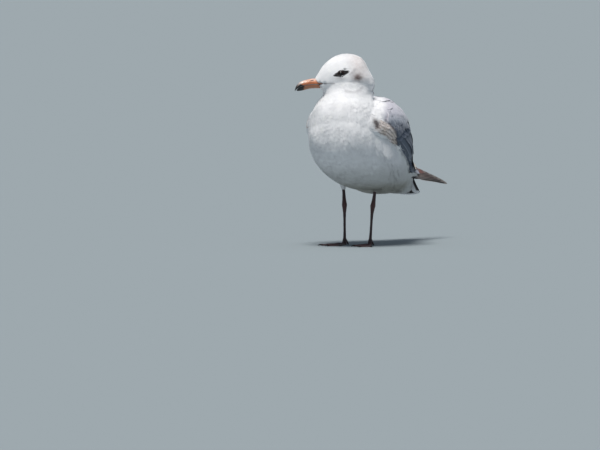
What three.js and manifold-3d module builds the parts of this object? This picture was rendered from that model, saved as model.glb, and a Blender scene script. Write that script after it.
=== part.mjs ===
// A life-size Mediterranean gull in first-summer plumage, standing with its head turned to its right.
// Millimetres, +Z up. The bird faces -Y and its left side is +X. Solids reach the tips of the plumage.
import * as THREE from "three";
import { mergeVertices } from "three/addons/utils/BufferGeometryUtils.js";
import Module from "manifold-3d";

const wasm = await Module();
wasm.setup();

// ------------------------------------------------------------------ driving sizes

const GAP = 0.3; // left between pieces that meet
const LEFT = 1;
const RIGHT = -1;

// Trunk sections from breast to vent: y, middle x and z, half width, rise above the middle, drop below it.
const TRUNK = [
  [-80, 0, 147, 0, 0, 0],
  [-75, 0, 146, 24, 23, 25],
  [-58, 0, 142, 41, 40, 40],
  [-33, 0, 137, 51.5, 48, 53],
  [0, 0, 130, 55.5, 58, 57.5],
  [36, 0, 122, 52, 61, 54.5],
  [70, 0, 112, 40, 43, 46.5],
  [99, -0.5, 98, 26, 25, 34],
  [122, -3, 82, 18, 14, 19.5],
  [138, -6, 71, 15, 8, 9.5],
  [146, -8, 66, 10, 3, 4],
  [149, -8.5, 64, 0, 0, 0],
];
const TRUNK_SQUARENESS = 2.15; // 2 is an ellipse

// Neck sections from inside the breast up into the head: height, centre x and y, half width, half depth.
const NECK = [
  [118, 0, -24, 44, 42],
  [140, 0, -29, 48.5, 46],
  [160, 0, -33, 46.5, 45],
  [172, 0, -34, 43.5, 43.5],
  [182, 0, -34, 39, 39],
  [190, 0.5, -33, 33.5, 33.5],
  [197, 2, -31, 30, 30],
  [205, 3, -29, 28, 28],
  [214, 3, -28, 22, 22],
];

// The head parts from the neck on a plane this far below its centre, rising towards the bill by this slope.
const HEAD_CUT_DROP = 19;
const HEAD_CUT_SLOPE = 0.12;
// The neck parts from the trunk on a plane through this point of the shoulders, rising towards the back.
const NECK_CUT = { y: -34, z: 166, slope: 0.35 };

const HEAD_CENTRE = new THREE.Vector3(2, -30, 216.5);
const HEAD_TURN = -50; // degrees about Z, towards the right shoulder
// Head sections from nape to forehead: distance ahead of the centre, height, half width, rise, drop.
const HEAD = [
  [-36, -8, 0, 0, 0],
  [-33.5, -6, 11, 11, 12],
  [-27, -2, 19, 18, 18],
  [-16, 1, 24, 26, 22],
  [-2, 2, 25, 29.5, 24],
  [12, 1, 21.5, 29, 22.5],
  [24, -1, 16.5, 25.5, 18.5],
  [33, -4, 12, 19.5, 13],
  [39, -6, 8, 12, 7],
  [43, -6.5, 5.3, 7, 4.5],
  [44.8, -6.5, 0, 0, 0],
];
const EYE_AHEAD = 13;
const EYE_RISE = 6.2;
const EYE_SIDE = 16.4; // of the ball's centre from the middle plane
const EYE_RADIUS = 5.2;

// Bill sections from inside the face to the tip: distance ahead, mouth line height, half width, depth.
const UPPER_BILL = [
  [31, -8.2, 6.2, 7.2],
  [45, -7.6, 5.2, 7.6],
  [53, -8.2, 4.5, 6.7],
  [58.5, -9, 3.9, 6.2],
  [63.3, -10.8, 3.1, 5.7],
  [66.8, -13.2, 2.1, 4.9],
  [68.8, -15.4, 1.1, 3.2],
  [69.6, -17, 0.5, 0.7],
];
const LOWER_BILL = [
  [31, -8.5, 5.6, 3.8],
  [43, -7.9, 4.7, 4.6],
  [51, -8.4, 4.1, 4.8],
  [57.5, -9.2, 3.3, 5.7],
  [62, -10.7, 2.5, 5],
  [65, -12.6, 1.7, 3.4],
  [67, -14.6, 0.7, 1.2],
];

// Left wing sections from wrist to tertial tips: y, x and z of the lower edge, x and z of the upper edge,
// how far the middle bulges outwards, and the thickness there.
const WING = [
  [-55, 38, 156, 35, 164, 1, 4],
  [-46, 48.5, 149, 32, 174, 6, 12],
  [-26, 57.5, 140, 24, 186, 15, 22],
  [0, 61, 126, 15, 191, 24, 30],
  [30, 58.5, 108, 12, 191, 26.5, 32],
  [60, 48, 96, 5, 171, 19, 30],
  [90, 33.5, 89, 2.5, 143, 11, 20],
  [120, 22, 84.5, 2, 115, 4.5, 7],
  [146, 18, 81, 4, 99, 2, 4],
  [160, 15, 80.5, 8, 89.5, 1, 2],
];
// Left primaries from under the tertials to the wing tip, in the same columns.
const PRIMARIES = [
  [104, 22.5, 85, 4, 112, 2, 5],
  [140, 18.5, 79.3, 4.5, 97.5, 2, 5],
  [175, 15, 75, 6, 87.4, 1.5, 4],
  [205, 13, 71.6, 8, 80, 1, 2.6],
  [226, 11.3, 70.2, 10.3, 72.6, 0.3, 1.2],
];
const EDGE_THICKNESS = 1.2; // of the wings' edges
const WING_FULLNESS = 0.6; // 1 bulges as a sine, 0 as a box
const RIGHT_TIP_LIFT = 5; // the right wing tip lies this much higher than the left
const RIGHT_TIP_START = 100; // y from which it rises

// Tail sections from the rump to the tip: y, middle x and z, half width, arch of the middle over the sides.
const TAIL = [
  [66, 1, 122, 10, 3],
  [96, 0.5, 100, 16, 3],
  [120, -1.5, 82, 21, 2],
  [138, -5, 68.5, 21.5, 1],
  [151, -7, 58.5, 21.5, 0.5],
];
const TAIL_ROUNDING = 6; // the outer feathers end this far short of the middle ones
const TAIL_PITCH = THREE.MathUtils.degToRad(37);
const TAIL_THICKNESS = 2.4;

// Left leg from inside the belly down, about the middle of the feet: x, y, z, half width, half depth.
const FEET_X = -8.3;
const FEET_Y = 15.6;
const SHANK = [
  [23.6, 5.6, 84, 1.8, 2],
  [22.6, 5, 70, 1.9, 2.2],
  [21.4, 4.1, 58, 2.5, 2.9],
  [20.6, 3.4, 51.5, 3.4, 4],
];
const TARSUS = [
  [20.6, 3.4, 51.2, 3.4, 4],
  [20.2, 2.8, 46, 2.6, 3.2],
  [19.7, 1.9, 38, 1.7, 2.3],
  [19.2, 1.2, 24, 1.6, 2.1],
  [18.7, 0.3, 11, 1.8, 2.3],
  [18.5, -0.2, 5.5, 2.4, 2.8],
];
const HEEL = [
  [18.5, -0.2, 7.5, 2.3, 2.8],
  [18.5, -0.6, 3.5, 2.8, 3.4],
  [18.5, -1, 0, 2.6, 3.2],
];
const HIND_TOE = [
  [18.5, 1, 8.5, 1.5, 1.6],
  [18.4, 5, 5.4, 1.3, 1.4],
  [18.3, 9.5, 0, 1.1, 1.3],
];
const FOOT_X = 18.5;
const FOOT_Y = -1;
const FOOT_TURN = 6; // degrees outwards
// The three front toes: degrees outwards from the foot's own line, and length without the claw.
const TOES = [
  [-22, 29],
  [1, 37],
  [25, 34],
];
const TOE_HALF_WIDTH = 1.9;
const TOE_HEIGHT = 3.3;
const TOE_TAPER = 0.32;
const TOE_SWELL = 0.09;
const TOE_JOINTS = 3;
const WEB_THICKNESS = 1.1;
const WEB_REACH = 0.97; // the web runs along this share of a toe
const WEB_NOTCH = 0.84; // its free edge is hollowed between two toes towards this share of them
const WEB_EDGE_POINTS = 4;
const CLAW_LENGTH = 5.5;
const CLAW_RADIUS = 1.15;
const CLAW_TAPER = 0.62;

// Rings along each form and points round each ring.
const TRUNK_FACETS = [22, 24];
const NECK_FACETS = [10, 22];
const HEAD_FACETS = [17, 20];
const BILL_FACETS = [12, 12];
const EYE_FACETS = [12, 8];
const WING_RINGS = 18;
const WING_POINTS = { outer: 7, inner: 5 };
const PRIMARIES_RINGS = 10;
const TAIL_FACETS = [8, 8];
const LEG_FACETS = [6, 9];
const TOE_FACETS = [7, 7];
const CLAW_FACETS = [3, 7];

// ------------------------------------------------------------------ materials

const finish = (color, roughness) =>
  new THREE.MeshStandardMaterial({ color, roughness, metalness: 0 });
const WHITE_PLUMAGE = finish("#eeeeee", 0.9);
const GREY_PLUMAGE = finish("#a9aeb6", 0.85);
const BROWN_FEATHER = finish("#4a3a33", 0.75);
const BILL_HORN = finish("#c4693f", 0.45);
const LEG_SKIN = finish("#2e2226", 0.6);
const CLAW_HORN = finish("#141214", 0.4);
const EYE_BALL = finish("#0a0706", 0.1);

// ------------------------------------------------------------------ shaping tools

// Reads a table of sections at t from 0 to 1, on a smooth curve through its rows.
function sectionAt(rows, t) {
  const span = t * (rows.length - 1);
  const i = Math.min(Math.floor(span), rows.length - 2);
  const f = span - i;
  const row = (k) => rows[THREE.MathUtils.clamp(k, 0, rows.length - 1)];
  return rows[0].map((_, column) => {
    const [before, from, to, after] = [-1, 0, 1, 2].map((step) => row(i + step)[column]);
    const slopeIn = (to - before) / 2;
    const slopeOut = (after - from) / 2;
    const cubic = 2 * (from - to) + slopeIn + slopeOut;
    const square = 3 * (to - from) - 2 * slopeIn - slopeOut;
    return from + f * (slopeIn + f * (square + f * cubic));
  });
}

// A closed geometry through rings of equal length, each end closed by a fan round its middle point.
function loft(rings, firstMiddle, lastMiddle) {
  const around = rings[0].length;
  const points = [...rings.flat(), firstMiddle, lastMiddle];
  const faces = [];
  for (let r = 0; r + 1 < rings.length; r++)
    for (let k = 0; k < around; k++) {
      const a = r * around + k;
      const b = r * around + ((k + 1) % around);
      faces.push(a, b, b + around, a, b + around, a + around);
    }
  const last = (rings.length - 1) * around;
  for (let k = 0; k < around; k++) {
    const next = (k + 1) % around;
    faces.push(points.length - 2, next, k);
    faces.push(points.length - 1, last + k, last + next);
  }
  const geometry = new THREE.BufferGeometry().setFromPoints(points);
  geometry.setIndex(faces);
  return geometry;
}

const middleOf = (ring) =>
  ring.reduce((sum, p) => sum.add(p), new THREE.Vector3()).divideScalar(ring.length);

// A solid through the sections of a table. ringAt(section) gives a ring. Round ends taper to the first and
// last sections' own middle points, and flat ends keep the whole first and last rings.
function loftTable(rows, steps, ringAt, flatEnds = false) {
  const all = Array.from({ length: steps + 1 }, (_, i) => ringAt(sectionAt(rows, i / steps)));
  const rings = flatEnds ? all : all.slice(1, -1);
  return solidOf(loft(rings, middleOf(all[0]), middleOf(all[steps])));
}

// A geometry as a manifold solid, facing outwards.
function solidOf(geometry) {
  const bare = geometry.clone();
  bare.deleteAttribute("normal");
  bare.deleteAttribute("uv");
  const merged = mergeVertices(bare, 1e-4);
  const triVerts = new Uint32Array(merged.index.array);
  const build = () =>
    new wasm.Manifold(
      new wasm.Mesh({ numProp: 3, vertProperties: merged.attributes.position.array, triVerts }),
    );
  const solid = build();
  if (solid.volume() > 0) return solid;
  for (let i = 0; i < triVerts.length; i += 3) triVerts.subarray(i + 1, i + 3).reverse();
  return build();
}

// A rounded section in the plane of two directions, unequal above and below. squareness 2 is an ellipse.
function roundRing(centre, across, up, halfWidth, rise, drop, count, squareness = 2) {
  return Array.from({ length: count }, (_, k) => {
    const angle = (2 * Math.PI * (k + 0.5)) / count;
    const bend = (v) => Math.sign(v) * Math.abs(v) ** (2 / squareness);
    const [c, s] = [bend(Math.cos(angle)), bend(Math.sin(angle))];
    return centre
      .clone()
      .addScaledVector(across, halfWidth * c)
      .addScaledVector(up, (s > 0 ? rise : drop) * s);
  });
}

const X = new THREE.Vector3(1, 0, 0);
const Y = new THREE.Vector3(0, 1, 0);
const Z = new THREE.Vector3(0, 0, 1);

// Half of space on the side that normal points to, starting half a gap from the point.
function halfSpace(point, normal) {
  const size = 600;
  const box = new THREE.BoxGeometry(size, size, size).translate(0, 0, size / 2 + GAP / 2);
  box.applyQuaternion(new THREE.Quaternion().setFromUnitVectors(Z, normal.clone().normalize()));
  return solidOf(box.translate(point.x, point.y, point.z));
}

// The head's own frame: a point given as left, ahead and up of the head's centre.
const headMatrix = new THREE.Matrix4()
  .makeRotationZ(THREE.MathUtils.degToRad(HEAD_TURN))
  .setPosition(HEAD_CENTRE);
const inHead = (left, ahead, up) => new THREE.Vector3(left, -ahead, up).applyMatrix4(headMatrix);
const headLeft = X.clone().transformDirection(headMatrix);
const headAhead = Y.clone().negate().transformDirection(headMatrix);

// The largest of the separate bodies in a solid.
const largest = (solid) =>
  solid.decompose().reduce((best, body) => (body.volume() > best.volume() ? body : best));

// A named mesh of a solid's largest body: cuts can leave slivers beside it.
function meshOf(name, solid, material) {
  const { vertProperties, triVerts } = largest(solid).getMesh();
  const geometry = new THREE.BufferGeometry();
  geometry.setAttribute("position", new THREE.BufferAttribute(vertProperties, 3));
  geometry.setIndex(new THREE.BufferAttribute(triVerts, 1));
  geometry.computeVertexNormals();
  const mesh = new THREE.Mesh(geometry, material);
  mesh.name = name;
  return mesh;
}

// ------------------------------------------------------------------ head, neck and trunk

// The three forms of the body, each made larger all round by grow.
const trunkShape = (grow) =>
  loftTable(TRUNK, TRUNK_FACETS[0], ([y, x, z, w, up, down]) => {
    const middle = new THREE.Vector3(x, y, z);
    const sizes = [w + grow, up + grow, down + grow];
    return roundRing(middle, X, Z, ...sizes, TRUNK_FACETS[1], TRUNK_SQUARENESS);
  });

const neckShape = (grow) =>
  loftTable(
    NECK,
    NECK_FACETS[0],
    ([z, x, y, w, d]) =>
      roundRing(new THREE.Vector3(x, y, z), X, Y, w + grow, d + grow, d + grow, NECK_FACETS[1]),
    true,
  );

const headShape = (grow) =>
  loftTable(HEAD, HEAD_FACETS[0], ([ahead, z, w, up, down]) =>
    roundRing(inHead(0, ahead, z), headLeft, Z, w + grow, up + grow, down + grow, HEAD_FACETS[1]),
  );

const wholeBody = (grow) => trunkShape(grow).add(neckShape(grow)).add(headShape(grow));

function eyeBall(side, radius) {
  const centre = inHead(side * EYE_SIDE, EYE_AHEAD, EYE_RISE);
  const sphere = new THREE.SphereGeometry(radius, ...EYE_FACETS);
  return solidOf(sphere.translate(centre.x, centre.y, centre.z));
}

function bodyPieces() {
  const body = wholeBody(0);
  const headPoint = inHead(0, 0, -HEAD_CUT_DROP);
  const headUp = headAhead.clone().multiplyScalar(-HEAD_CUT_SLOPE).add(Z);
  const neckPoint = new THREE.Vector3(0, NECK_CUT.y, NECK_CUT.z);
  const neckUp = new THREE.Vector3(0, -NECK_CUT.slope, 1);
  const aboveNeckCut = body.intersect(halfSpace(neckPoint, neckUp));
  const head = [LEFT, RIGHT].reduce(
    (solid, side) => solid.subtract(eyeBall(side, EYE_RADIUS + GAP)),
    aboveNeckCut.intersect(halfSpace(headPoint, headUp)),
  );
  return [
    meshOf("head", head, WHITE_PLUMAGE),
    meshOf("neck", aboveNeckCut.intersect(halfSpace(headPoint, headUp.negate())), WHITE_PLUMAGE),
    meshOf("trunk", body.intersect(halfSpace(neckPoint, neckUp.negate())), WHITE_PLUMAGE),
    meshOf("eye_left", eyeBall(LEFT, EYE_RADIUS), EYE_BALL),
    meshOf("eye_right", eyeBall(RIGHT, EYE_RADIUS), EYE_BALL),
  ];
}

// The mandibles meet along the mouth line, where a slit keeps them apart.
function billPieces(body) {
  const mandible = (rows, sizesOf) =>
    loftTable(
      rows,
      BILL_FACETS[0],
      ([ahead, mouth, w, h]) =>
        roundRing(inHead(0, ahead, mouth), headLeft, Z, ...sizesOf(w, h), BILL_FACETS[1]),
      true,
    );
  const flat = 0.05;
  const upper = mandible(UPPER_BILL, (w, h) => [w, h, flat]);
  const lower = mandible(LOWER_BILL, (w, h) => [w, flat, h + GAP]);
  const slit = mandible(UPPER_BILL, (w) => [2 * w, flat, 2 * GAP]);
  return [
    meshOf("bill_upper", upper.subtract(body), BILL_HORN),
    meshOf("bill_lower", lower.subtract(body).subtract(slit).subtract(upper), BILL_HORN),
  ];
}

// ------------------------------------------------------------------ wings and tail

// One wing section: up along a bulging outer side from the lower edge to the upper, and back inside it.
function bladeRing([y, lowX, lowZ, highX, highZ, bulge, thickness], side) {
  const low = new THREE.Vector3(lowX, y, lowZ);
  const high = new THREE.Vector3(highX, y, highZ);
  const chord = high.clone().sub(low);
  const outwards = new THREE.Vector3(chord.z, 0, -chord.x).normalize();
  const bellyAt = (s) => Math.sin(Math.PI * s) ** WING_FULLNESS;
  const sideCurve = (steps, insetAt) =>
    Array.from({ length: steps }, (_, k) => {
      const s = k / (steps - 1);
      return low.clone().lerp(high, s).addScaledVector(outwards, bulge * bellyAt(s) - insetAt(s));
    });
  const outer = sideCurve(WING_POINTS.outer, () => 0);
  const depthAt = (s) => EDGE_THICKNESS + (thickness - EDGE_THICKNESS) * bellyAt(s);
  const inner = sideCurve(WING_POINTS.inner, depthAt);
  const ring = [...outer, ...inner.reverse()];
  return ring.map((p) => new THREE.Vector3(side * p.x, p.y, p.z + tipLift(side, p.y)));
}

// How much higher a wing lies at y than its table says.
function tipLift(side, y) {
  const tipY = PRIMARIES.at(-1)[0];
  const share = Math.max(0, (y - RIGHT_TIP_START) / (tipY - RIGHT_TIP_START));
  return side === RIGHT ? RIGHT_TIP_LIFT * share : 0;
}

const blade = (rows, rings, side) =>
  loftTable(rows, rings, (section) => bladeRing(section, side), true);
const wingShape = (side) => blade(WING, WING_RINGS, side);
const primariesShape = (side) => blade(PRIMARIES, PRIMARIES_RINGS, side);

// A thin shape made a gap larger above and below.
const thickened = (solid) =>
  solid.add(solid.translate([0, 0, -GAP])).add(solid.translate([0, 0, GAP]));

function wingPieces(body, side, word) {
  const ownSide = halfSpace(new THREE.Vector3(), X.clone().multiplyScalar(side));
  const wing = wingShape(side).subtract(body).intersect(ownSide);
  const primaries = primariesShape(side).subtract(body).subtract(thickened(wingShape(side)));
  return [
    meshOf("wing_" + word, wing, GREY_PLUMAGE),
    meshOf("primaries_" + word, primaries.intersect(ownSide), BROWN_FEATHER),
  ];
}

// The folded tail, without what the body and the wings cover.
function tailPiece(body) {
  const [rings, across] = TAIL_FACETS;
  const layer = ([y, x, z, halfWidth, arch], height) =>
    Array.from({ length: across + 1 }, (_, k) => {
      const s = (2 * k) / across - 1;
      const back = TAIL_ROUNDING * s * s;
      const fall = arch * s * s;
      return new THREE.Vector3(
        x + s * halfWidth,
        y - back * Math.cos(TAIL_PITCH),
        z + back * Math.sin(TAIL_PITCH) - fall + height,
      );
    });
  const ringAt = (row) => [...layer(row, 0), ...layer(row, -TAIL_THICKNESS).reverse()];
  const tail = loftTable(TAIL, rings, ringAt, true).subtract(body);
  const covered = [LEFT, RIGHT].flatMap((side) => [wingShape(side), primariesShape(side)]);
  return meshOf(
    "tail",
    covered.reduce((rest, shape) => rest.subtract(thickened(shape)), tail),
    WHITE_PLUMAGE,
  );
}

// ------------------------------------------------------------------ legs and feet

const onLeg = (side, x, y, z) => new THREE.Vector3(FEET_X + side * x, FEET_Y + y, z);
const limb = (rows, side) =>
  loftTable(
    rows,
    LEG_FACETS[0],
    ([x, y, z, w, d]) => roundRing(onLeg(side, x, y, z), X, Y, w, d, d, LEG_FACETS[1]),
    true,
  );

// A direction on the floor, degrees outwards from straight ahead.
const heading = (degrees, side) => {
  const angle = THREE.MathUtils.degToRad(degrees);
  return new THREE.Vector3(side * Math.sin(angle), -Math.cos(angle), 0);
};

const footStart = (side) => onLeg(side, FOOT_X, FOOT_Y, 0);
const toeTip = (side, [turn, length]) =>
  footStart(side).addScaledVector(heading(FOOT_TURN + turn, side), length);

// A toe with a flat sole, thinning towards its tip and swollen at its joints.
function toe(side, [turn, length]) {
  const ahead = heading(FOOT_TURN + turn, side);
  const across = new THREE.Vector3(-ahead.y, ahead.x, 0);
  const [steps, around] = TOE_FACETS;
  const rings = Array.from({ length: steps + 1 }, (_, i) => {
    const t = i / steps;
    const girth = 1 - TOE_TAPER * t + TOE_SWELL * Math.cos(2 * Math.PI * TOE_JOINTS * t);
    const middle = footStart(side).addScaledVector(ahead, t * length);
    return Array.from({ length: around }, (_, k) => {
      const angle = (Math.PI * k) / (around - 1);
      return middle
        .clone()
        .addScaledVector(across, TOE_HALF_WIDTH * girth * Math.cos(angle))
        .addScaledVector(Z, TOE_HEIGHT * girth * Math.sin(angle));
    });
  });
  return solidOf(loft(rings, middleOf(rings[0]), middleOf(rings[steps])));
}

// The web between the outer toes, its free edge hollowed between one toe tip and the next.
function web(side) {
  const start = footStart(side);
  const tips = TOES.map((t) => toeTip(side, t).sub(start).multiplyScalar(WEB_REACH));
  const outline = new THREE.Shape();
  outline.moveTo(0, 0);
  outline.lineTo(tips[0].x, tips[0].y);
  for (let i = 0; i + 1 < tips.length; i++) {
    const hollow = tips[i].clone().add(tips[i + 1]).multiplyScalar(WEB_NOTCH / 2);
    outline.quadraticCurveTo(hollow.x, hollow.y, tips[i + 1].x, tips[i + 1].y);
  }
  outline.closePath();
  const sheet = new THREE.ExtrudeGeometry(outline, {
    depth: WEB_THICKNESS,
    bevelEnabled: false,
    curveSegments: WEB_EDGE_POINTS,
  });
  return solidOf(sheet.translate(start.x, start.y, 0));
}

// A claw drooping almost to the floor from the end of a toe.
function claw(name, side, toeRow) {
  const ahead = heading(FOOT_TURN + toeRow[0], side);
  const across = new THREE.Vector3(-ahead.y, ahead.x, 0);
  const base = toeTip(side, toeRow).addScaledVector(ahead, GAP);
  const [steps, around] = CLAW_FACETS;
  const rings = Array.from({ length: steps + 1 }, (_, i) => {
    const t = i / steps;
    const radius = CLAW_RADIUS * (1 - CLAW_TAPER * t);
    const middle = base.clone().addScaledVector(ahead, t * CLAW_LENGTH);
    middle.z = THREE.MathUtils.lerp(CLAW_RADIUS, CLAW_RADIUS * (1 - CLAW_TAPER), t * t) + GAP;
    return roundRing(middle, across, Z, radius, radius, radius, around);
  });
  return meshOf(name, solidOf(loft(rings, middleOf(rings[0]), middleOf(rings[steps]))), CLAW_HORN);
}

function legPieces(body, side, word) {
  const ankle = halfSpace(new THREE.Vector3(0, 0, SHANK.at(-1)[2]), Z);
  const floor = halfSpace(new THREE.Vector3(0, 0, -GAP / 2), Z);
  const toes = TOES.map((row) => toe(side, row));
  const foot = [...toes, limb(HEEL, side), limb(HIND_TOE, side)]
    .reduce((all, piece) => all.add(piece), web(side))
    .intersect(floor);
  return [
    meshOf("shank_" + word, limb(SHANK, side).subtract(body).intersect(ankle), LEG_SKIN),
    meshOf("tarsus_" + word, limb(TARSUS, side).subtract(thickened(foot)), LEG_SKIN),
    meshOf("foot_" + word, foot, LEG_SKIN),
    ...TOES.map((row, i) => claw(`claw_${word}_${i + 1}`, side, row)),
  ];
}

// ------------------------------------------------------------------ the bird

const bird = new THREE.Group();
const grownBody = wholeBody(GAP);
bird.add(...bodyPieces(), ...billPieces(grownBody), tailPiece(grownBody));
for (const [side, word] of [[LEFT, "left"], [RIGHT, "right"]]) {
  bird.add(...wingPieces(grownBody, side, word), ...legPieces(grownBody, side, word));
}

// The part's origin is on the floor, under the middle of its box.
const extent = new THREE.Box3().setFromObject(bird);
const middle = extent.getCenter(new THREE.Vector3());
bird.position.set(-middle.x, -middle.y, -extent.min.z);

const part = new THREE.Group();
part.add(bird);
export default part;
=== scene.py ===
"""A Mediterranean gull in its first summer: skin, plumage, bill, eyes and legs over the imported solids.

Shapes are worked out in the bird's own frame, in millimetres: the bird faces -Y, +X is its left side,
Z is up from the floor, and y is 0 a set way behind the breast. metres() takes them to the row's frame.
"""
import heapq
import math

import bpy
import numpy as np
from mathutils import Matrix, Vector
from mathutils.bvhtree import BVHTree
from mathutils.kdtree import KDTree


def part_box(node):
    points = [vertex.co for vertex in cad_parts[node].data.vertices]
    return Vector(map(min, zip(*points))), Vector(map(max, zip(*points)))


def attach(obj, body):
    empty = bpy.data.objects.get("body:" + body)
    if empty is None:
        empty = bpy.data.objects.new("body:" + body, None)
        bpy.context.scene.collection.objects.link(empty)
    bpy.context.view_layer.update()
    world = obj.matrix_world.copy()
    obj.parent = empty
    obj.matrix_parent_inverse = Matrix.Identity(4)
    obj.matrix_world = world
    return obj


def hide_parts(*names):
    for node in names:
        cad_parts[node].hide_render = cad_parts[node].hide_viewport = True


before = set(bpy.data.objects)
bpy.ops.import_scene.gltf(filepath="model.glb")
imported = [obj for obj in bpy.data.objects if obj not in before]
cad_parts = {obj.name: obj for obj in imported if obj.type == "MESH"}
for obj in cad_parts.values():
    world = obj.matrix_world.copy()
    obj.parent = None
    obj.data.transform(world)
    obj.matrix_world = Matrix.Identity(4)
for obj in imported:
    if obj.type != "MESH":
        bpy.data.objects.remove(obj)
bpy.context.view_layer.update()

RNG = np.random.default_rng(7)
SIDES = {"left": 1.0, "right": -1.0}
MM = 1000.0  # millimetres to a metre
TRUNK_FRONT = 80.0  # the trunk's foremost point lies this far ahead of y = 0
ORIGIN = np.array([0.0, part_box("trunk")[0].y + TRUNK_FRONT / MM, 0.0])
UP = np.array([0.0, 0.0, 1.0])


# ---------------- numbers and vectors

def mm(points):
    """Places of the row's frame in the bird's own."""
    return (np.asarray(points, float) - ORIGIN) * MM


def metres(points):
    """Places of the bird's own frame in the row's."""
    return np.asarray(points, float) / MM + ORIGIN


def box_mm(node):
    """The lowest and highest corner of a CAD node."""
    low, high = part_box(node)
    return mm(low), mm(high)


def unit(vectors):
    """Vectors drawn to a length of 1."""
    vectors = np.asarray(vectors, float)
    return vectors / np.maximum(np.linalg.norm(vectors, axis=-1, keepdims=True), 1e-9)


def ramp(values, start, end):
    """0 before start and 1 after end, with a smooth rise between them."""
    t = np.clip((np.asarray(values, float) - start) / (end - start), 0, 1)
    return t * t * (3 - 2 * t)


def bump(values, middle, reach):
    """1 at middle, falling smoothly to 0 at a distance of reach."""
    return 1 - ramp(np.abs(np.asarray(values, float) - middle), 0, reach)


def mix(a, b, share):
    """a where share is 0 and b where it is 1, for vectors or colours."""
    share = np.asarray(share, float)[..., None]
    return np.asarray(a, float) * (1 - share) + np.asarray(b, float) * share


def srgb(*levels):
    """A linear colour from three display levels of 0 to 255."""
    c = np.array(levels, float) / 255
    return np.where(c <= 0.04045, c / 12.92, ((c + 0.055) / 1.055) ** 2.4)


def gauss(*offs):
    """1 where all the distances are 0, falling off as a bell; each comes with the bell's width."""
    return np.exp(-sum((off / width) ** 2 for off, width in offs))


def waves(points, size, seed):
    """A smooth irregular field of about -1 to 1, whose lumps are about size across."""
    draw = np.random.default_rng(seed)
    total = np.zeros(len(points))
    for _ in range(6):
        way = unit(draw.normal(size=3)) * 2 * math.pi / (size * draw.uniform(0.8, 1.6))
        total += np.sin(points @ way + draw.uniform(0, 2 * math.pi))
    return total / 3


# ---------------- the head's own frame

EYES = {side: np.mean(box_mm("eye_" + side), axis=0) for side in SIDES}
EYE_RADIUS = float(np.ptp(box_mm("eye_left"), axis=0)[2]) / 2
EYE_AHEAD, EYE_UP = 13.0, 6.2  # where the eyes lie from the head's middle
HEAD_LEFT = unit(EYES["left"] - EYES["right"])
HEAD_AHEAD = np.cross(HEAD_LEFT, UP)
HEAD_MIDDLE = (EYES["left"] + EYES["right"]) / 2 - EYE_AHEAD * HEAD_AHEAD - EYE_UP * UP


def in_head(points):
    """Each point's distance to the left, ahead and up from the head's middle."""
    off = np.asarray(points, float) - HEAD_MIDDLE
    return off @ HEAD_LEFT, off @ HEAD_AHEAD, off @ UP


# ---------------- meshes

def read(mesh):
    """A mesh's vertices and triangles."""
    mesh.calc_loop_triangles()
    co = np.empty(len(mesh.vertices) * 3, np.float32)
    mesh.vertices.foreach_get("co", co)
    tri = np.empty(len(mesh.loop_triangles) * 3, np.int32)
    mesh.loop_triangles.foreach_get("vertices", tri)
    return co.reshape(-1, 3), tri.reshape(-1, 3)


def together(*shapes):
    """Several shapes as one set of points and triangles."""
    starts = np.cumsum([0] + [len(points) for points, _ in shapes[:-1]])
    return (np.vstack([points for points, _ in shapes]),
            np.vstack([tris + start for (_, tris), start in zip(shapes, starts)]))


def node_shape(*nodes):
    """Welded vertices, in mm, and triangles of CAD nodes taken together."""
    points, tris = together(*(read(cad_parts[node].data) for node in nodes))
    welded, index = np.unique(np.round(points.astype(float), 6), axis=0, return_inverse=True)
    tri = index.reshape(-1)[tris]
    whole = (tri[:, 0] != tri[:, 1]) & (tri[:, 1] != tri[:, 2]) & (tri[:, 0] != tri[:, 2])
    return mm(welded), tri[whole]


def tree_of(points, tris):
    """A tree in which the nearest triangle, or the one that a ray hits, is found."""
    return BVHTree.FromPolygons(points.tolist(), tris.tolist())


def distance_to(nodes, points):
    """How far points are from the surface of some CAD nodes."""
    tree = tree_of(*node_shape(*nodes))
    return np.array([tree.find_nearest(p)[3] for p in points.tolist()])


def new_mesh(name, points, faces):
    """A smooth-shaded object with these points, in mm, and faces of one size."""
    mesh = bpy.data.meshes.new(name)
    faces = np.asarray(faces, np.int32)
    count, sides = faces.shape
    mesh.vertices.add(len(points))
    mesh.vertices.foreach_set("co", metres(points).astype(np.float32).ravel())
    mesh.loops.add(count * sides)
    mesh.loops.foreach_set("vertex_index", faces.ravel())
    mesh.polygons.add(count)
    mesh.polygons.foreach_set("loop_start", np.arange(0, count * sides, sides, dtype=np.int32))
    mesh.polygons.foreach_set("use_smooth", np.ones(count, bool))
    mesh.update(calc_edges=True)
    thing = bpy.data.objects.new(name, mesh)
    bpy.context.scene.collection.objects.link(thing)
    return thing


def colour(thing, attribute, values):
    """Stores one colour for each vertex, with an optional fourth value."""
    values = np.asarray(values, np.float32)
    if values.shape[1] == 3:
        values = np.hstack([values, np.ones((len(values), 1), np.float32)])
    layer = thing.data.attributes.new(attribute, "FLOAT_COLOR", "POINT")
    layer.data.foreach_set("color", values.ravel())


def shade_like(thing, normals):
    """Shades a piece by given normals, so that its many small vanes read as one soft coat."""
    thing.data.normals_split_custom_set_from_vertices(unit(normals).tolist())


def map_corners(thing, name, per_vertex):
    """A UV map whose corners take their vertex's place."""
    corners = np.empty(len(thing.data.loops), np.int32)
    thing.data.loops.foreach_get("vertex_index", corners)
    layer = thing.data.uv_layers.new(name=name)
    layer.data.foreach_set("uv", per_vertex[corners].astype(np.float32).ravel())


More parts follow.
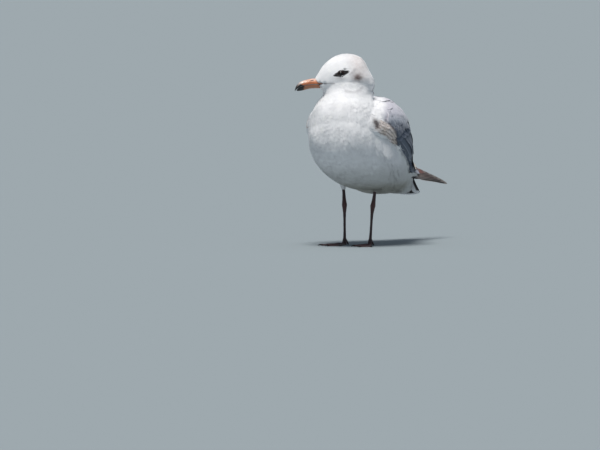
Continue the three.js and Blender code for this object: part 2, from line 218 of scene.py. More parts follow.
def remeshed(name, shape, voxel, smoothing):
    """Points and triangles of one smooth closed form round the closed shapes that it is given."""
    source = new_mesh(name + "_source", *shape)
    remesh = source.modifiers.new("remesh", "REMESH")
    remesh.mode = "VOXEL"
    remesh.voxel_size = voxel / MM
    smooth = source.modifiers.new("smooth", "SMOOTH")
    smooth.factor = 0.5
    smooth.iterations = smoothing
    evaluated = source.evaluated_get(bpy.context.evaluated_depsgraph_get())
    points, tris = read(evaluated.to_mesh())
    evaluated.to_mesh_clear()
    bpy.data.objects.remove(source)
    return mm(points), tris


def wound(rings, around, closed=False):
    """Triangles between rings of points; closed joins the last ring to the first."""
    i, k = np.meshgrid(np.arange(rings if closed else rings - 1), np.arange(around), indexing="ij")
    here, there, side = i * around, (i + 1) % rings * around, (k + 1) % around
    a, b, c, d = here + k, here + side, there + k, there + side
    return np.stack([[a, c, d], [a, d, b]]).transpose(0, 2, 3, 1).reshape(-1, 3)


def drawn_even(values):
    """Inner values along an array's second axis, evened out with their neighbours'."""
    return (values[:, :-2] + 2 * values[:, 1:-1] + values[:, 2:]) / 4


def vertex_normals(points, tris):
    """Normals of the vertices, weighed by the areas of the triangles round them."""
    flat = np.cross(points[tris[:, 1]] - points[tris[:, 0]], points[tris[:, 2]] - points[tris[:, 0]])
    total = np.zeros_like(points)
    for corner in range(3):
        np.add.at(total, tris[:, corner], flat)
    return unit(total)


def edges_of(tris):
    """Each edge once, as the numbers of its two vertices."""
    pairs = np.sort(np.vstack([tris[:, [0, 1]], tris[:, [1, 2]], tris[:, [2, 0]]]), axis=1)
    return np.unique(pairs, axis=0)


def spread(values, edges, rounds):
    """Values of the vertices, evened out with their neighbours' a number of times."""
    values = np.asarray(values, float).copy()
    ends = np.concatenate([edges[:, 0], edges[:, 1]])
    others = np.concatenate([edges[:, 1], edges[:, 0]])
    number = np.bincount(ends, minlength=len(values)).astype(float)
    for _ in range(rounds):
        if values.ndim == 1:
            values = np.bincount(ends, values[others], len(values)) / number
        else:
            values = np.stack([np.bincount(ends, values[others, k], len(values)) / number
                               for k in range(values.shape[1])], axis=1)
    return values


# ---------------- the skin

BODY = ["head", "neck", "trunk"]
WINGS = ["wing_left", "wing_right"]
FLESH = BODY + WINGS
LEGS = [f"{part}_{side}" for side in SIDES for part in ("shank", "tarsus", "foot")]
SKIN_VOXEL, LEG_VOXEL = 1.7, 0.6
BODY_COAT, FACE_COAT = 3.2, 1.9  # how far the skin lies below the feathers' outline
GAPE_HEIGHTS = [-13, -11, -8.3, -6.9, -6, -5.2, -4.2, -3, 1.1]  # the edge of the bare bill, from below
GAPE_EDGE = [42, 38.6, 37.4, 32, 31.4, 37, 41.5, 44, 45.5]


def bare_gape(points):
    """1 where the bill's base lies bare ahead of the feathers, which reach furthest back at the gape."""
    _, ahead, up = in_head(points)
    edge = np.interp(up, GAPE_HEIGHTS, GAPE_EDGE)
    return ramp(ahead - edge, -0.6, 0.9) * ramp(-np.abs(up + 6), -9, -7.5)


def coat_depth(points):
    """How far the skin lies inside the coat's outline: less on the rump and least at the bill."""
    _, ahead, up = in_head(points)
    depth = BODY_COAT - 2.6 * ramp(points[:, 1], 75, 125)
    face = ramp(up, -26, -16)
    depth = depth * (1 - face) + face * (FACE_COAT - 1.1 * ramp(ahead, 14, 36))
    return depth + 2.2 * bare_gape(points) * ramp(-ahead, -45, -42)


class Surface:
    """A closed form of triangles, and what can be asked of it: distances, slopes and nearest points."""

    def __init__(self, points, tris):
        self.points, self.tris = points, tris
        self.normals = vertex_normals(points, tris)
        self.edges = edges_of(tris)
        self.tree = tree_of(points, tris)

    def distances(self, sources):
        """Each vertex's way along the edges from the nearest source."""
        lengths = np.linalg.norm(self.points[self.edges[:, 0]] - self.points[self.edges[:, 1]], axis=1)
        near = [[] for _ in self.points]
        for (a, b), length in zip(self.edges.tolist(), lengths.tolist()):
            near[a].append((b, length))
            near[b].append((a, length))
        best = [math.inf] * len(self.points)
        queue = [(0.0, int(s)) for s in sources]
        for _, s in queue:
            best[s] = 0.0
        heapq.heapify(queue)
        while queue:
            so_far, a = heapq.heappop(queue)
            if so_far > best[a]:
                continue
            for b, length in near[a]:
                total = so_far + length
                if total < best[b]:
                    best[b] = total
                    heapq.heappush(queue, (total, b))
        found = np.array(best)
        found[~np.isfinite(found)] = found[np.isfinite(found)].max()
        return spread(found, self.edges, 25)

    def slopes(self, values):
        """The way that values grow fastest along the surface, at each vertex."""
        a, b, c = (self.points[self.tris[:, k]] for k in range(3))
        flat = np.cross(b - a, c - a)
        area = np.linalg.norm(flat, axis=1, keepdims=True)
        n = flat / np.maximum(area, 1e-9)
        va, vb, vc = (values[self.tris[:, k]][:, None] for k in range(3))
        grown = np.cross(n, c - b) * va + np.cross(n, a - c) * vb + np.cross(n, b - a) * vc
        total = np.zeros_like(self.points)
        for corner in range(3):
            np.add.at(total, self.tris[:, corner], grown)
        return unit(spread(unit(total), self.edges, 6))

    def near(self, points):
        """The nearest point of the surface to each point, and its triangle."""
        found = [self.tree.find_nearest(p) for p in np.asarray(points, float).tolist()]
        return np.array([f[0][:] for f in found]), np.array([f[2] for f in found])

    def gap(self, points):
        """How far each point is off the surface."""
        return np.linalg.norm(self.near(points)[0] - points, axis=1)

    def weights(self, points, faces):
        """How much each of its triangle's corners counts at each point."""
        a, b, c = (self.points[self.tris[faces, k]] for k in range(3))
        u, v, w = b - a, c - a, points - a
        uu, uv, vv = (u * u).sum(1), (u * v).sum(1), (v * v).sum(1)
        wu, wv = (w * u).sum(1), (w * v).sum(1)
        below = np.maximum(uu * vv - uv * uv, 1e-12)
        second, third = (vv * wu - uv * wv) / below, (uu * wv - uv * wu) / below
        return np.clip(np.stack([1 - second - third, second, third], axis=1), 0, 1)

    def at(self, values, points, faces):
        """Vertex values at points that lie on triangles."""
        share = self.weights(points, faces)
        corner = values[self.tris[faces]]
        return (corner * (share if values.ndim == 1 else share[:, :, None])).sum(1)

    def scatter(self, spacing, number):
        """Evenly strewn points: spacing gives the distance between them at each vertex."""
        a, b, c = (self.points[self.tris[:, k]] for k in range(3))
        area = np.linalg.norm(np.cross(b - a, c - a), axis=1) / 2
        gap = spacing[self.tris].mean(1)
        share = np.cumsum(area / gap ** 2)
        faces = np.searchsorted(share, RNG.uniform(0, share[-1], number))
        r, s = np.sqrt(RNG.random(number)), RNG.random(number)
        points = (a[faces] * (1 - r)[:, None] + b[faces] * (r * (1 - s))[:, None]
                  + c[faces] * (r * s)[:, None])
        apart = self.at(spacing, points, faces)
        tree = KDTree(number)
        for i, p in enumerate(points.tolist()):
            tree.insert(p, i)
        tree.balance()
        free = np.ones(number, bool)
        kept = []
        for i, (p, gap) in enumerate(zip(points.tolist(), apart.tolist())):
            if free[i]:
                kept.append(i)
                free[[j for _, j, _ in tree.find_range(p, gap)]] = False
        return points[kept], faces[kept]


def cut_at(ends, y):
    """Where the edges, given by their two ends, cross a plane across the bird."""
    a, b = ends[:, 0], ends[:, 1]
    cut = (a[:, 1] - y) * (b[:, 1] - y) < 0
    t = ((y - a[cut, 1]) / (b[cut, 1] - a[cut, 1]))[:, None]
    return a[cut] * (1 - t) + b[cut] * t


SADDLE_FRONT, SADDLE_END, SADDLE_DEEP = -22, 112, 34  # reach along the bird, and depth


def saddle():
    """A closed form that fills the furrow between the folded wings, where the mantle lies."""
    tops = []
    for wing in WINGS:
        points, tris = node_shape(wing)
        rings = [cut_at(points[edges_of(tris)], y) for y in np.linspace(SADDLE_FRONT, SADDLE_END, 24)]
        tops.append([ring[ring[:, 2].argmax()] for ring in rings])
    left, right = np.array(tops)
    deep = np.array([0, 0, SADDLE_DEEP])
    rings = np.stack([left, (left + right) / 2 + [0, 0, 0.6], right, right - deep, left - deep], 1)
    rings[:, :, 2] -= 0.5
    count, sides = rings.shape[:2]
    faces = []
    for i in range(0, (count - 1) * sides, sides):
        for k in range(sides):
            a, b = i + k, i + (k + 1) % sides
            faces += [(a, b, b + sides), (a, b + sides, a + sides)]
    for first, order in ((0, 1), ((count - 1) * sides, -1)):
        faces += [(first, first + k + 1, first + k)[::order] for k in (1, 2, 3)]
    return rings.reshape(-1, 3), np.array(faces)


def tail_row(y):
    """The tail's middle, half width and upper face at places along the bird."""
    points, tris = node_shape("tail")
    stations = np.linspace(points[:, 1].min() + 0.5, 145, 30)
    rings = [cut_at(points[edges_of(tris)], station) for station in stations]
    low, high = (np.array([way(ring[:, 0]) for ring in rings]) for way in (np.min, np.max))
    top = np.array([ring[:, 2].max() for ring in rings])
    slope = (top[-1] - top[-6]) / (stations[-1] - stations[-6])
    return (np.interp(y, stations, (low + high) / 2), np.interp(y, stations, (high - low) / 2),
            np.interp(y, stations, top) + slope * np.maximum(y - stations[-1], 0))


RUMP_SHARE = 0.55  # how much of the trunk's height over the tail the rump keeps
WING_SKIN_END = 118.0  # the skin of the wings is drawn in behind here, under the longest feathers


def settled(points, tris):
    """The body with a softer trunk, filled hollows round the neck, a lower rump and shorter wing skin."""
    edges = edges_of(tris)
    _, ahead, up = in_head(points)
    from_wings = distance_to(WINGS, points)
    wing = spread(from_wings < distance_to(BODY, points), edges, 4)
    off_wings = ramp(from_wings, 1.0, 6.0)
    points = mix(points, spread(points, edges, 22), ramp(-up, 4, 16) * off_wings)
    jaw = 0.9 * bump(up, -11, 13) * ramp(-ahead, -30, -18) * ramp(ahead, -26, -12)
    points = mix(points, spread(points, edges, 120), jaw)
    round_neck = bump(up, -17, 23) * ramp(-ahead, -32, -22) * off_wings
    for _ in range(3):
        normals = vertex_normals(points, tris)
        hollow = ((spread(points, edges, 80) - points) * normals).sum(1).clip(0, None)
        points = points + normals * (1.1 * hollow * round_neck)[:, None]
    hind = ramp(-ahead, 2, 20) * (4.0 * bump(up, 10, 17) + 1.2 * bump(up, -4, 16))
    points = points + HEAD_AHEAD * hind[:, None]
    y = points[:, 1]
    over_tail = points[:, 2] - tail_row(y)[2]
    sunk = (over_tail * (1 - RUMP_SHARE) + 0.8) * (over_tail > 0) * (1 - wing) * ramp(y, 100, 118)
    behind = (y - WING_SKIN_END).clip(0, None) * ramp(wing, 0.3, 0.7)
    return points - np.stack([0 * y, 0.6 * behind, sunk], 1)


body_points, body_tris = remeshed("body", together(node_shape(*FLESH, "eye_left", "eye_right"), saddle()),
                                  SKIN_VOXEL, 4)
body_points = settled(body_points, body_tris)
outline = Surface(body_points, body_tris)
skin = Surface(body_points - outline.normals * coat_depth(body_points)[:, None], body_tris)


# ---------------- the lie of the plumage

EYE_OPENING = 4.5  # no feather grows nearer to the middle of an eye
TAIL_PITCH = math.radians(37)  # how steeply the tail runs down to the back


def eye_axis(sign):
    """The way that an eye looks."""
    return unit(sign * HEAD_LEFT + 0.16 * HEAD_AHEAD + 0.04 * UP)


def off_eye(points, side):
    """The way out from an eye's oval opening at each point, and how far out it lies in the oval's long
    half widths; infinite on the other side of the head."""
    off, axis = points - EYES[side], eye_axis(SIDES[side])
    flat = off - (off @ axis)[:, None] * axis
    away = np.hypot(np.linalg.norm(flat, axis=1), 0.85 * flat[:, 2])
    return unit(flat), np.where(off @ axis < 0, math.inf, away)


def coat_lie():
    """The way that the feathers lie at each vertex of the skin: back from the bill, down the wings, along
    the tail and round the eyes."""
    y = skin.points[:, 1]
    wing_lie = np.stack([0 * y, 1 + 0 * y, -0.5 * ramp(y, -30, 60)], 1)
    tail_lie = np.tile([0.0, math.cos(TAIL_PITCH), -math.sin(TAIL_PITCH)], (len(y), 1))
    tail_lie[:, 2] *= ramp(skin.normals[:, 2], -0.6, 0.4) * 0.8 + 0.2
    lie = unit(mix(skin.slopes(from_bill), tail_lie, ramp(y, 70, 100)))
    lie = unit(mix(lie, unit(wing_lie), ramp(skin_wing, 0.2, 0.8)))
    for side in SIDES:
        out, away = off_eye(skin.points, side)
        share = (EYE_OPENING / np.maximum(away, EYE_OPENING)) ** 2
        across = lie - 2 * (lie * out).sum(1, keepdims=True) * out
        lie = unit(lie + share[:, None] * across)
    return unit(lie - skin.normals * (lie * skin.normals).sum(1, keepdims=True))


beyond = distance_to(WINGS, outline.points) - distance_to(BODY, outline.points)
skin_wing = spread(beyond < 0, skin.edges, 3)  # 1 on the folded wings, 0 on the body
skin_left, skin_ahead, skin_up = in_head(skin.points)
before_face = np.where((skin_up > -16) & (np.abs(skin_left) < 14), skin_ahead, -math.inf)
from_bill = skin.distances(np.flatnonzero(before_face > before_face.max() - 3))
skin_lie = coat_lie()


def paths(roots, faces, lengths, steps, turn):
    """Points and normals along the way of each feather, from its root over the skin."""
    points, normals = [roots], [unit(skin.at(skin.normals, roots, faces))]
    way = unit(skin.at(skin_lie, roots, faces))
    way = unit(way * np.cos(turn)[:, None] + np.cross(normals[0], way) * np.sin(turn)[:, None])
    step = (lengths / steps)[:, None]
    for _ in range(steps):
        aim = points[-1] + way * step
        on, face = skin.near(aim)
        hangs = np.linalg.norm(on - aim, axis=1) > 0.35 * step[:, 0]
        on[hangs] = aim[hangs]
        normal = unit(skin.at(skin.normals, on, face))
        normal[hangs] = normals[-1][hangs]
        ahead = unit(on - points[-1])
        way = unit(mix(ahead, unit(skin.at(skin_lie, on, face)), np.where(hangs, 0.0, 0.35)))
        points.append(on)
        normals.append(normal)
    return np.stack(points, 1), np.stack(normals, 1)


# ---------------- vanes

def vane_shape(root, widens, tip, blunt, narrows=0.0):
    """A feather's half width as a function of the place along it: root at its start, 1 after the two
    places of widens, rounded off beyond the first number of tip and over the second, down to blunt."""
    def width(t):
        body = (root + (1 - root) * ramp(t, *widens)) * (1 - narrows * ramp(t, 0.35, 1.1))
        return float(body * math.sqrt(np.clip(1 - max((t - tip[0]) / tip[1], 0) ** 2, blunt, 1)))
    return width


CONTOUR_SHAPE = vane_shape(0.35, (0, 0.5), (0.55, 0.47), 0.04)
COVERT_SHAPE = vane_shape(0.4, (0, 0.45), (0.72, 0.29), 0.03)
QUILL_SHAPE = vane_shape(0.45, (0, 0.3), (0.8, 0.21), 0.02, narrows=0.3)
TAIL_SHAPE = vane_shape(0.3, (-0.2, 0.9), (0.9, 0.105), 0.05)


def vane(rows, columns, shape, teeth):
    """Points (across, along) and triangles of a vane, with barbs that fray its edge by teeth."""
    across = np.linspace(-1, 1, columns)
    points = [(w * shape(t), t) for t in rows for w in across]
    starts = [r * columns for r in range(len(rows))]
    faces = []
    for a in [start + c for start in starts[:-1] for c in range(columns - 1)]:
        faces += [(a, a + 1, a + columns + 1), (a, a + columns + 1, a + columns)]
    outer = [start for start, t in zip(starts, rows) if t > 0.35]
    edge = outer + list(range(starts[-1] + 1, starts[-1] + columns - 1))
    edge += [start + columns - 1 for start in reversed(outer)]
    for a, b in zip(edge[:-1], edge[1:]):
        for start, end in ((0.0, 0.4), (0.3, 0.7), (0.6, 1.0)):
            p, q = np.array(points[a]), np.array(points[b])
            base = [p + (q - p) * start, p + (q - p) * end]
            i = len(points)
            tip = (base[0] + base[1]) / 2
            tip = tip + teeth * (0.7 + 0.6 * math.sin(2.3 * i) ** 2) * np.array([0.9 * tip[0], 1.0])
            points += [tuple(base[0]), tuple(base[1]), tuple(tip)]
            faces.append((i, i + 1, i + 2))
    return np.array(points), np.array(faces)


def along(kind, ways, normals):
    """The middle, normal, tangent and sideways way at every point of every vane of a kind."""
    steps = ways.shape[1] - 1
    place = kind[0][:, 1] * steps
    low = np.minimum(place.astype(int), steps - 1)
    part = (place - low)[None, :, None]
    middle = ways[:, low] * (1 - part) + ways[:, low + 1] * part
    normal = unit(normals[:, low] * (1 - part) + normals[:, low + 1] * part)
    tangent = unit(ways[:, low + 1] - ways[:, low])
    return middle, normal, tangent, unit(np.cross(tangent, normal))


def lay(kind, ways, normals, half, height, twist, camber=0.05):
    """Points and triangles of vanes of a kind, laid along their ways at a height over the surface."""
    shape, faces = kind
    middle, normal, _, side = along(kind, ways, normals)
    w = shape[None, :, 0] * half[:, None]
    lift = height(shape[None, :, 1]) - camber * half[:, None] * shape[None, :, 0] ** 2
    lift = lift + w * twist[:, None]
    points = middle + side * w[..., None] + normal * lift[..., None]
    every = faces[None] + (np.arange(len(ways)) * len(shape))[:, None, None]
    return points.reshape(-1, 3), every.reshape(-1, 3)


def soft_normals(kind, ways, normals, roll):
    """Shading normals of laid vanes: the skin's own, rolled a little towards each vane's edges."""
    _, normal, tangent, side = along(kind, ways, normals)
    across, place = kind[0].T[:, None, :, None]
    return unit(normal + roll * (side * across + tangent * (place - 0.6))).reshape(-1, 3)


# ---------------- looks

class Graph:
    """A node tree, and short ways to add to it. Values of inputs are numbers, colours or sockets."""

    def __init__(self, owner):
        owner.use_nodes = True
        self.owner, self.nodes, self.links = owner, owner.node_tree.nodes, owner.node_tree.links

    def set(self, node, values):
        """Gives inputs their values, by name or number."""
        for key, value in values.items():
            if isinstance(value, bpy.types.NodeSocket):
                self.links.new(value, node.inputs[key])
            else:
                node.inputs[key].default_value = value

    def add(self, kind, values, **settings):
        """A new node with these values of inputs and these settings."""
        node = self.nodes.new("ShaderNode" + kind)
        for name, setting in settings.items():
            setattr(node, name, setting)
        self.set(node, values)
        return node

    def maths(self, operation, *values):
        """The result of one step of arithmetic."""
        return self.add("Math", dict(enumerate(values)), operation=operation).outputs[0]

    def step(self, value, start, end):
        """0 before start and 1 after end, with a smooth rise between them."""
        values = {"Value": value, "From Min": start, "From Max": end}
        return self.add("MapRange", values, interpolation_type="SMOOTHSTEP").outputs["Result"]

    def blended(self, kind, share, a, b):
        """Colour a mixed with colour b by a share."""
        return self.add("Mix", {0: share, 6: a, 7: b}, data_type="RGBA", blend_type=kind).outputs[2]

    def shaded(self, tint, shade):
        """A colour times a number."""
        grey = self.add("CombineColor", dict.fromkeys(range(3), shade)).outputs[0]
        return self.blended("MULTIPLY", 1.0, tint, grey)

    def colours(self, name):
        """The outputs of a colour that the mesh carries."""
        return self.add("Attribute", {}, attribute_name=name).outputs

    def finish(self, height, strength, distance, values):
        """Raises the principled shader by a height and sets its other inputs."""
        bump_node = self.add("Bump", {"Strength": strength, "Distance": distance, "Height": height})
        self.set(self.nodes["Principled BSDF"], {"Normal": bump_node.outputs[0], **values})
        return self.owner


def feather_material(name, barbs, shaft, roughness, sheen):
    """Vanes with barbs slanting from a shaft, and a paler or darker edge from the fringe attribute."""
    look = Graph(bpy.data.materials.new(name))
    place = look.add("UVMap", {}, uv_map="Vane")
    u, v, _ = look.add("SeparateXYZ", {0: place.outputs[0]}).outputs
    off = look.maths("ABSOLUTE", look.maths("MULTIPLY_ADD", u, 2.0, -1.0))
    slant = look.maths("SUBTRACT", v, look.maths("MULTIPLY", off, 0.35))
    stretched = {0: look.maths("MULTIPLY", slant, barbs), 1: look.maths("MULTIPLY", u, 2.5)}
    stretched = look.add("CombineXYZ", stretched).outputs[0]
    streaks = look.add("TexNoise", {"Vector": stretched, "Scale": 1.0, "Detail": 2.0}).outputs[0]
    where = look.add("TexCoord", {}).outputs["Object"]
    patches = look.add("TexNoise", {"Vector": where, "Scale": 90.0, "Detail": 2.0}).outputs[0]
    tint, fringe = look.colours("tint"), look.colours("fringe")
    edge = look.maths("MAXIMUM", look.step(off, 0.68, 0.9), look.step(v, 0.86, 0.97))
    edge = look.maths("MULTIPLY", edge, fringe["Alpha"])
    shade = look.maths("MULTIPLY", look.maths("MULTIPLY_ADD", look.step(streaks, 0.3, 0.7), 0.1, 0.93),
                       look.maths("MULTIPLY_ADD", patches, 0.08, 0.95))
    quill = look.maths("SUBTRACT", 1.0, look.step(off, 0.02, 0.07))
    shade = look.maths("SUBTRACT", shade, look.maths("MULTIPLY", quill, shaft))
    base = look.shaded(look.blended("MIX", edge, tint["Color"], fringe["Color"]), shade)
    return look.finish(streaks, 0.35, 0.0003, {
        "Base Color": base, "Roughness": roughness, "Sheen Weight": sheen, "Sheen Roughness": 0.6,
        "Specular IOR Level": 0.25})


def surface_material(name, roughness, detail_size, grain, coat=0.0, texture="TexNoise"):
    """A solid whose colour is its tint, broken up by a fine grain that also raises it."""
    look = Graph(bpy.data.materials.new(name))
    where = look.add("TexCoord", {}).outputs["Object"]
    value = look.add(texture, {"Vector": where, "Scale": 1 / detail_size}).outputs[0]
    shade = look.maths("MULTIPLY_ADD", value, grain, 1 - grain / 2)
    base = look.shaded(look.colours("tint")["Color"], shade)
    return look.finish(value, 0.4, detail_size * 0.25,
                       {"Base Color": base, "Roughness": roughness, "Coat Weight": coat})


SOFT_VANE = feather_material("soft_feather", barbs=26.0, shaft=0.03, roughness=0.92, sheen=0.25)
FIRM_VANE = feather_material("firm_feather", barbs=70.0, shaft=0.12, roughness=0.75, sheen=0.1)

# ---------------- colours of the bird

WHITE = srgb(243, 243, 246)
CREAM = srgb(232, 226, 214)
# the mantle's and wings' grey in lit and shaded copies: paler as painted light where it faces up, darker
# below as painted shade down the wing's side
PALE_GREY = srgb(196, 194, 206)
WING_GREY = srgb(128, 137, 152)
SHADED_GREY = srgb(80, 90, 108)
SHADED_SLATE = srgb(96, 104, 118)
COVERT_EDGE = srgb(158, 162, 176)
BUFF = srgb(186, 168, 146)
SOOT = srgb(34, 30, 32)
EAR_BROWN = srgb(134, 112, 108)
PINK_BUFF = srgb(226, 212, 208)
LEG = srgb(62, 42, 45)
LEG_RED = srgb(92, 54, 50)
ORANGE = srgb(186, 112, 74)


def layered(tint, *layers):
    """A colour with others laid over it, each as a colour and the share that it covers."""
    for over, share in layers:
        tint = mix(tint, over, share)
    return tint


def stroke(across, up, width, *path):
    """1 on a bent line in a view from the side, falling off beside it as a bell of this width."""
    least = np.full(len(across), math.inf)
    for (a, b), (c, d) in zip(path[:-1], path[1:]):
        t = np.clip(((across - a) * (c - a) + (up - b) * (d - b)) / ((c - a) ** 2 + (d - b) ** 2), 0, 1)
        least = np.minimum(least, np.hypot(across - a - t * (c - a), up - b - t * (d - b)))
    return gauss((least, width))


def head_markings(points, tint):
    """The dark mask round the eye, the ear spot, the faint washes of the crown and cheek, and painted shade
    in the crease under the cheek.
    """
    left, ahead, up = in_head(points)
    off_a, off_u = ahead - EYE_AHEAD, up - EYE_UP
    on_side = ramp(np.abs(left), 5, 11)
    streaks = 0.5 + 0.5 * waves(points * [1, 1, 2.2], 3.2, 31)
    wash = bump(ahead, -12, 22) * ramp(up, -9, 2) * (0.6 + 0.4 * streaks)
    ear = gauss((ahead + 7.4, 5.2), (up - 1.6, 4.4)) * on_side * (0.65 + 0.7 * streaks)
    behind = stroke(ahead, up, 1.6, (2, 5.4), (-5, 11.4)) * (0.5 + 0.5 * streaks)
    # painted shade along the crease under the cheek
    crease_shade = stroke(ahead, up, 1.7, (-14, -11.5), (-10, -15), (-1.5, -17.3), (8, -16))
    slope = off_u + 0.28 * off_a
    long_ = np.abs(off_a / np.where(off_a > 0, 10.4, 10.6))
    high = np.where(slope > 0, 5.0, 3.9) * (1 - 0.5 * long_.clip(0, 1))
    mask = 1 - long_ ** 2.2 - (slope / high) ** 2 + 0.12 * waves(points, 2.2, 37)
    crescent = gauss((slope + 4.8, 1.0)) * bump(off_a, -6, 6.5) * on_side
    return layered(
        tint,
        (PINK_BUFF, 0.55 * wash * on_side),
        (srgb(214, 206, 206), 0.4 * bump(ahead, -12, 20) * ramp(up, 8, 20) * streaks),  # crown
        (EAR_BROWN, ear.clip(0, 0.92)),
        (srgb(84, 66, 62), 0.75 * gauss((ahead + 7.9, 3.4), (up - 0.6, 1.5)) * on_side),  # the spot's core
        (srgb(128, 120, 124), 0.5 * behind * on_side),
        (srgb(178, 166, 164), 0.4 * gauss((off_a - 2, 7), (off_u + 5.6, 1.9)) * on_side),  # below the eye
        # painted shade in the crease under the cheek
        (srgb(168, 166, 170), 0.5 * crease_shade * on_side),
        (srgb(120, 110, 112), 0.5 * stroke(ahead, up, 0.8, (33, -6), (21, -6.4))),  # behind the gape
        (SOOT, ramp(mask, 0.0, 0.3) * on_side),
        (srgb(252, 252, 254), (1.3 * crescent).clip(0, 1)))


NOSTRIL_AHEAD = 47.5  # the middle of the nostrils


def nostril(points):
    """1 in the slits on both sides of the upper bill."""
    left, ahead, up = in_head(points)
    off = ahead - NOSTRIL_AHEAD
    slit = np.exp(-(off / 2.3) ** 4 - ((up + 2.6 + 0.18 * off) / 0.62) ** 2)
    return slit * (np.abs(left) > 1.2)


MOUTH_AHEAD, MOUTH_UP = [31, 45, 53, 58.5, 63.3, 69], [-8.3, -7.6, -8.2, -9, -10.8, -16]


def bill_tint(points, upper):
    """Peach orange with a dark mouth line, a painted highlight along the ridge, painted shade under the
    lower bill and a black tip; greyer and pinker at the gape.
    """
    _, ahead, up = in_head(points)
    over = up - np.interp(ahead, MOUTH_AHEAD, MOUTH_UP)
    drift = waves(points * [1, 1, 2], 6, 21)
    tint = layered(
        ORANGE,
        (srgb(222, 168, 142), ramp(over + 0.5 * drift, 2.5, 5.5) * upper),  # upper half of the upper bill, paler as painted light from above
        (srgb(168, 112, 82), ramp(-over, 0.5, 3) * (1 - upper)),  # painted shade under the lower bill
        (srgb(136, 74, 48), 0.7 * gauss((over - 2.2 + 0.4 * drift, 0.8)) * bump(ahead, 53, 9) * upper),
        (srgb(104, 60, 48), 0.75 * ramp(-np.abs(over), -1.0, -0.15)),  # along the mouth
        (srgb(122, 88, 82), 0.85 * ramp(-ahead, -38.5, -34)),  # gape
        (srgb(226, 196, 190), 0.6 * bump(ahead, 45, 5) * ramp(over, 4, 7) * upper))  # root of the ridge
    tint = tint * (1 + 0.09 * drift + 0.05 * waves(points, 1.6, 25))[:, None]
    edge = np.where(upper, 58.8 + 0.9 * over, 57.4 - 0.2 * over) + 0.5 * waves(points, 3, 23)
    return layered(
        tint,
        (srgb(26, 24, 26), ramp(ahead - edge, -1.4, 1.4)),  # tip
        (srgb(226, 210, 202), 0.85 * ramp(over, 2.4, 4.4) * bump(ahead, 61, 8) * upper),  # painted highlight along the ridge
        (srgb(78, 42, 36), np.clip(1.3 * nostril(points) * upper, 0, 1)))


STRIP_Y = [-46, -36, -27, -20, -14, -8, -1, 6]  # the streaked strip along the front of a folded wing
STRIP_TOP = [166, 164, 159.5, 153, 147, 138, 129, 120]
STRIP_FOOT = [152, 145.5, 142.5, 138, 132, 127.5, 125, 121]


def strip_markings(points, tint, on_wing):
    """The streaked buff strip along the front of a folded wing, its dark borders and the dark wrist."""
    x, y, z = points.T
    y = y - 6 * (x < 0)
    top, foot = np.interp(y, STRIP_Y, STRIP_TOP), np.interp(y, STRIP_Y, STRIP_FOOT)
    strip = on_wing * ramp(z - foot, -1, 0.6) * ramp(top - z, -0.6, 1) * ramp(-y, -3, 1)
    buff = mix(srgb(240, 229, 226), BUFF, 0.25 + 0.25 * waves(points, 9, 47))
    lines = ramp(np.sin(1.5 * (z - foot) + 1.3 * waves(points, 6, 43)), 0.1, 0.85)
    border = stroke(y, z, 1.4, (-27, 160), (-20, 154), (-14, 148), (-8, 139), (-3, 131))
    pale = stroke(y, z, 1.1, (-19, 172), (-25.5, 164.5), (-27, 160.5))
    return layered(
        tint,
        (WHITE, on_wing * ramp(foot - z, -1, 1) * ramp(-y, -12, -2)),  # the fringe under the strip
        (buff, strip),
        (srgb(112, 92, 86), 0.7 * strip * lines),
        (srgb(58, 54, 64), 0.85 * border * on_wing),
        (srgb(104, 92, 108), 0.7 * stroke(y, z, 1.3, (-21.5, 170), (-29, 163)) * on_wing),
        (srgb(232, 228, 236), 0.8 * pale * on_wing),
        (srgb(56, 43, 43), (1.6 * gauss((y + 42.5, 3.0), (z - 159.5, 5.5))).clip(0, 0.92)))  # wrist


def markings(points, wing):
    """The bird's colours at points of its surface, alike for skin and feathers, with painted shade on the
    lower belly and painted light and shade on the grey of the mantle and wings; wing is 1 on the folded
    wings."""
    x, y, z = points.T
    drift = 3.5 * waves(points, 13, 41)
    shoulder = 17 - 0.04 * np.maximum(np.abs(x) - 20, 0) ** 2 + drift
    above = ramp(z - (150 - 0.2 * y), 0, 10)
    mantle = ramp(y - shoulder, -14, 12) * np.maximum(above * ramp(-y, -100, -84), ramp(wing, 0.4, 0.6))
    # the grey is paler on top and darker lower down the wing: painted light and shade over the wing's grey
    grey = layered(PALE_GREY, (WING_GREY, ramp(182 - z + 0.6 * drift, 2, 22)),
                   (SHADED_GREY, ramp(165 - z - 0.08 * y + 0.5 * drift, 0, 12)))
    tint = layered(
        WHITE,
        (srgb(198, 199, 199), ramp(-z, -114, -84)),  # painted shade on the lower belly
        (srgb(150, 148, 138), ramp(-z, -86, -72) * ramp(-y, -118, -84)),  # deeper, warmer painted shade between the legs
        (grey, mantle))
    return head_markings(points, strip_markings(points, tint, ramp(wing, 0.3, 0.7)))


# ---------------- folded wings

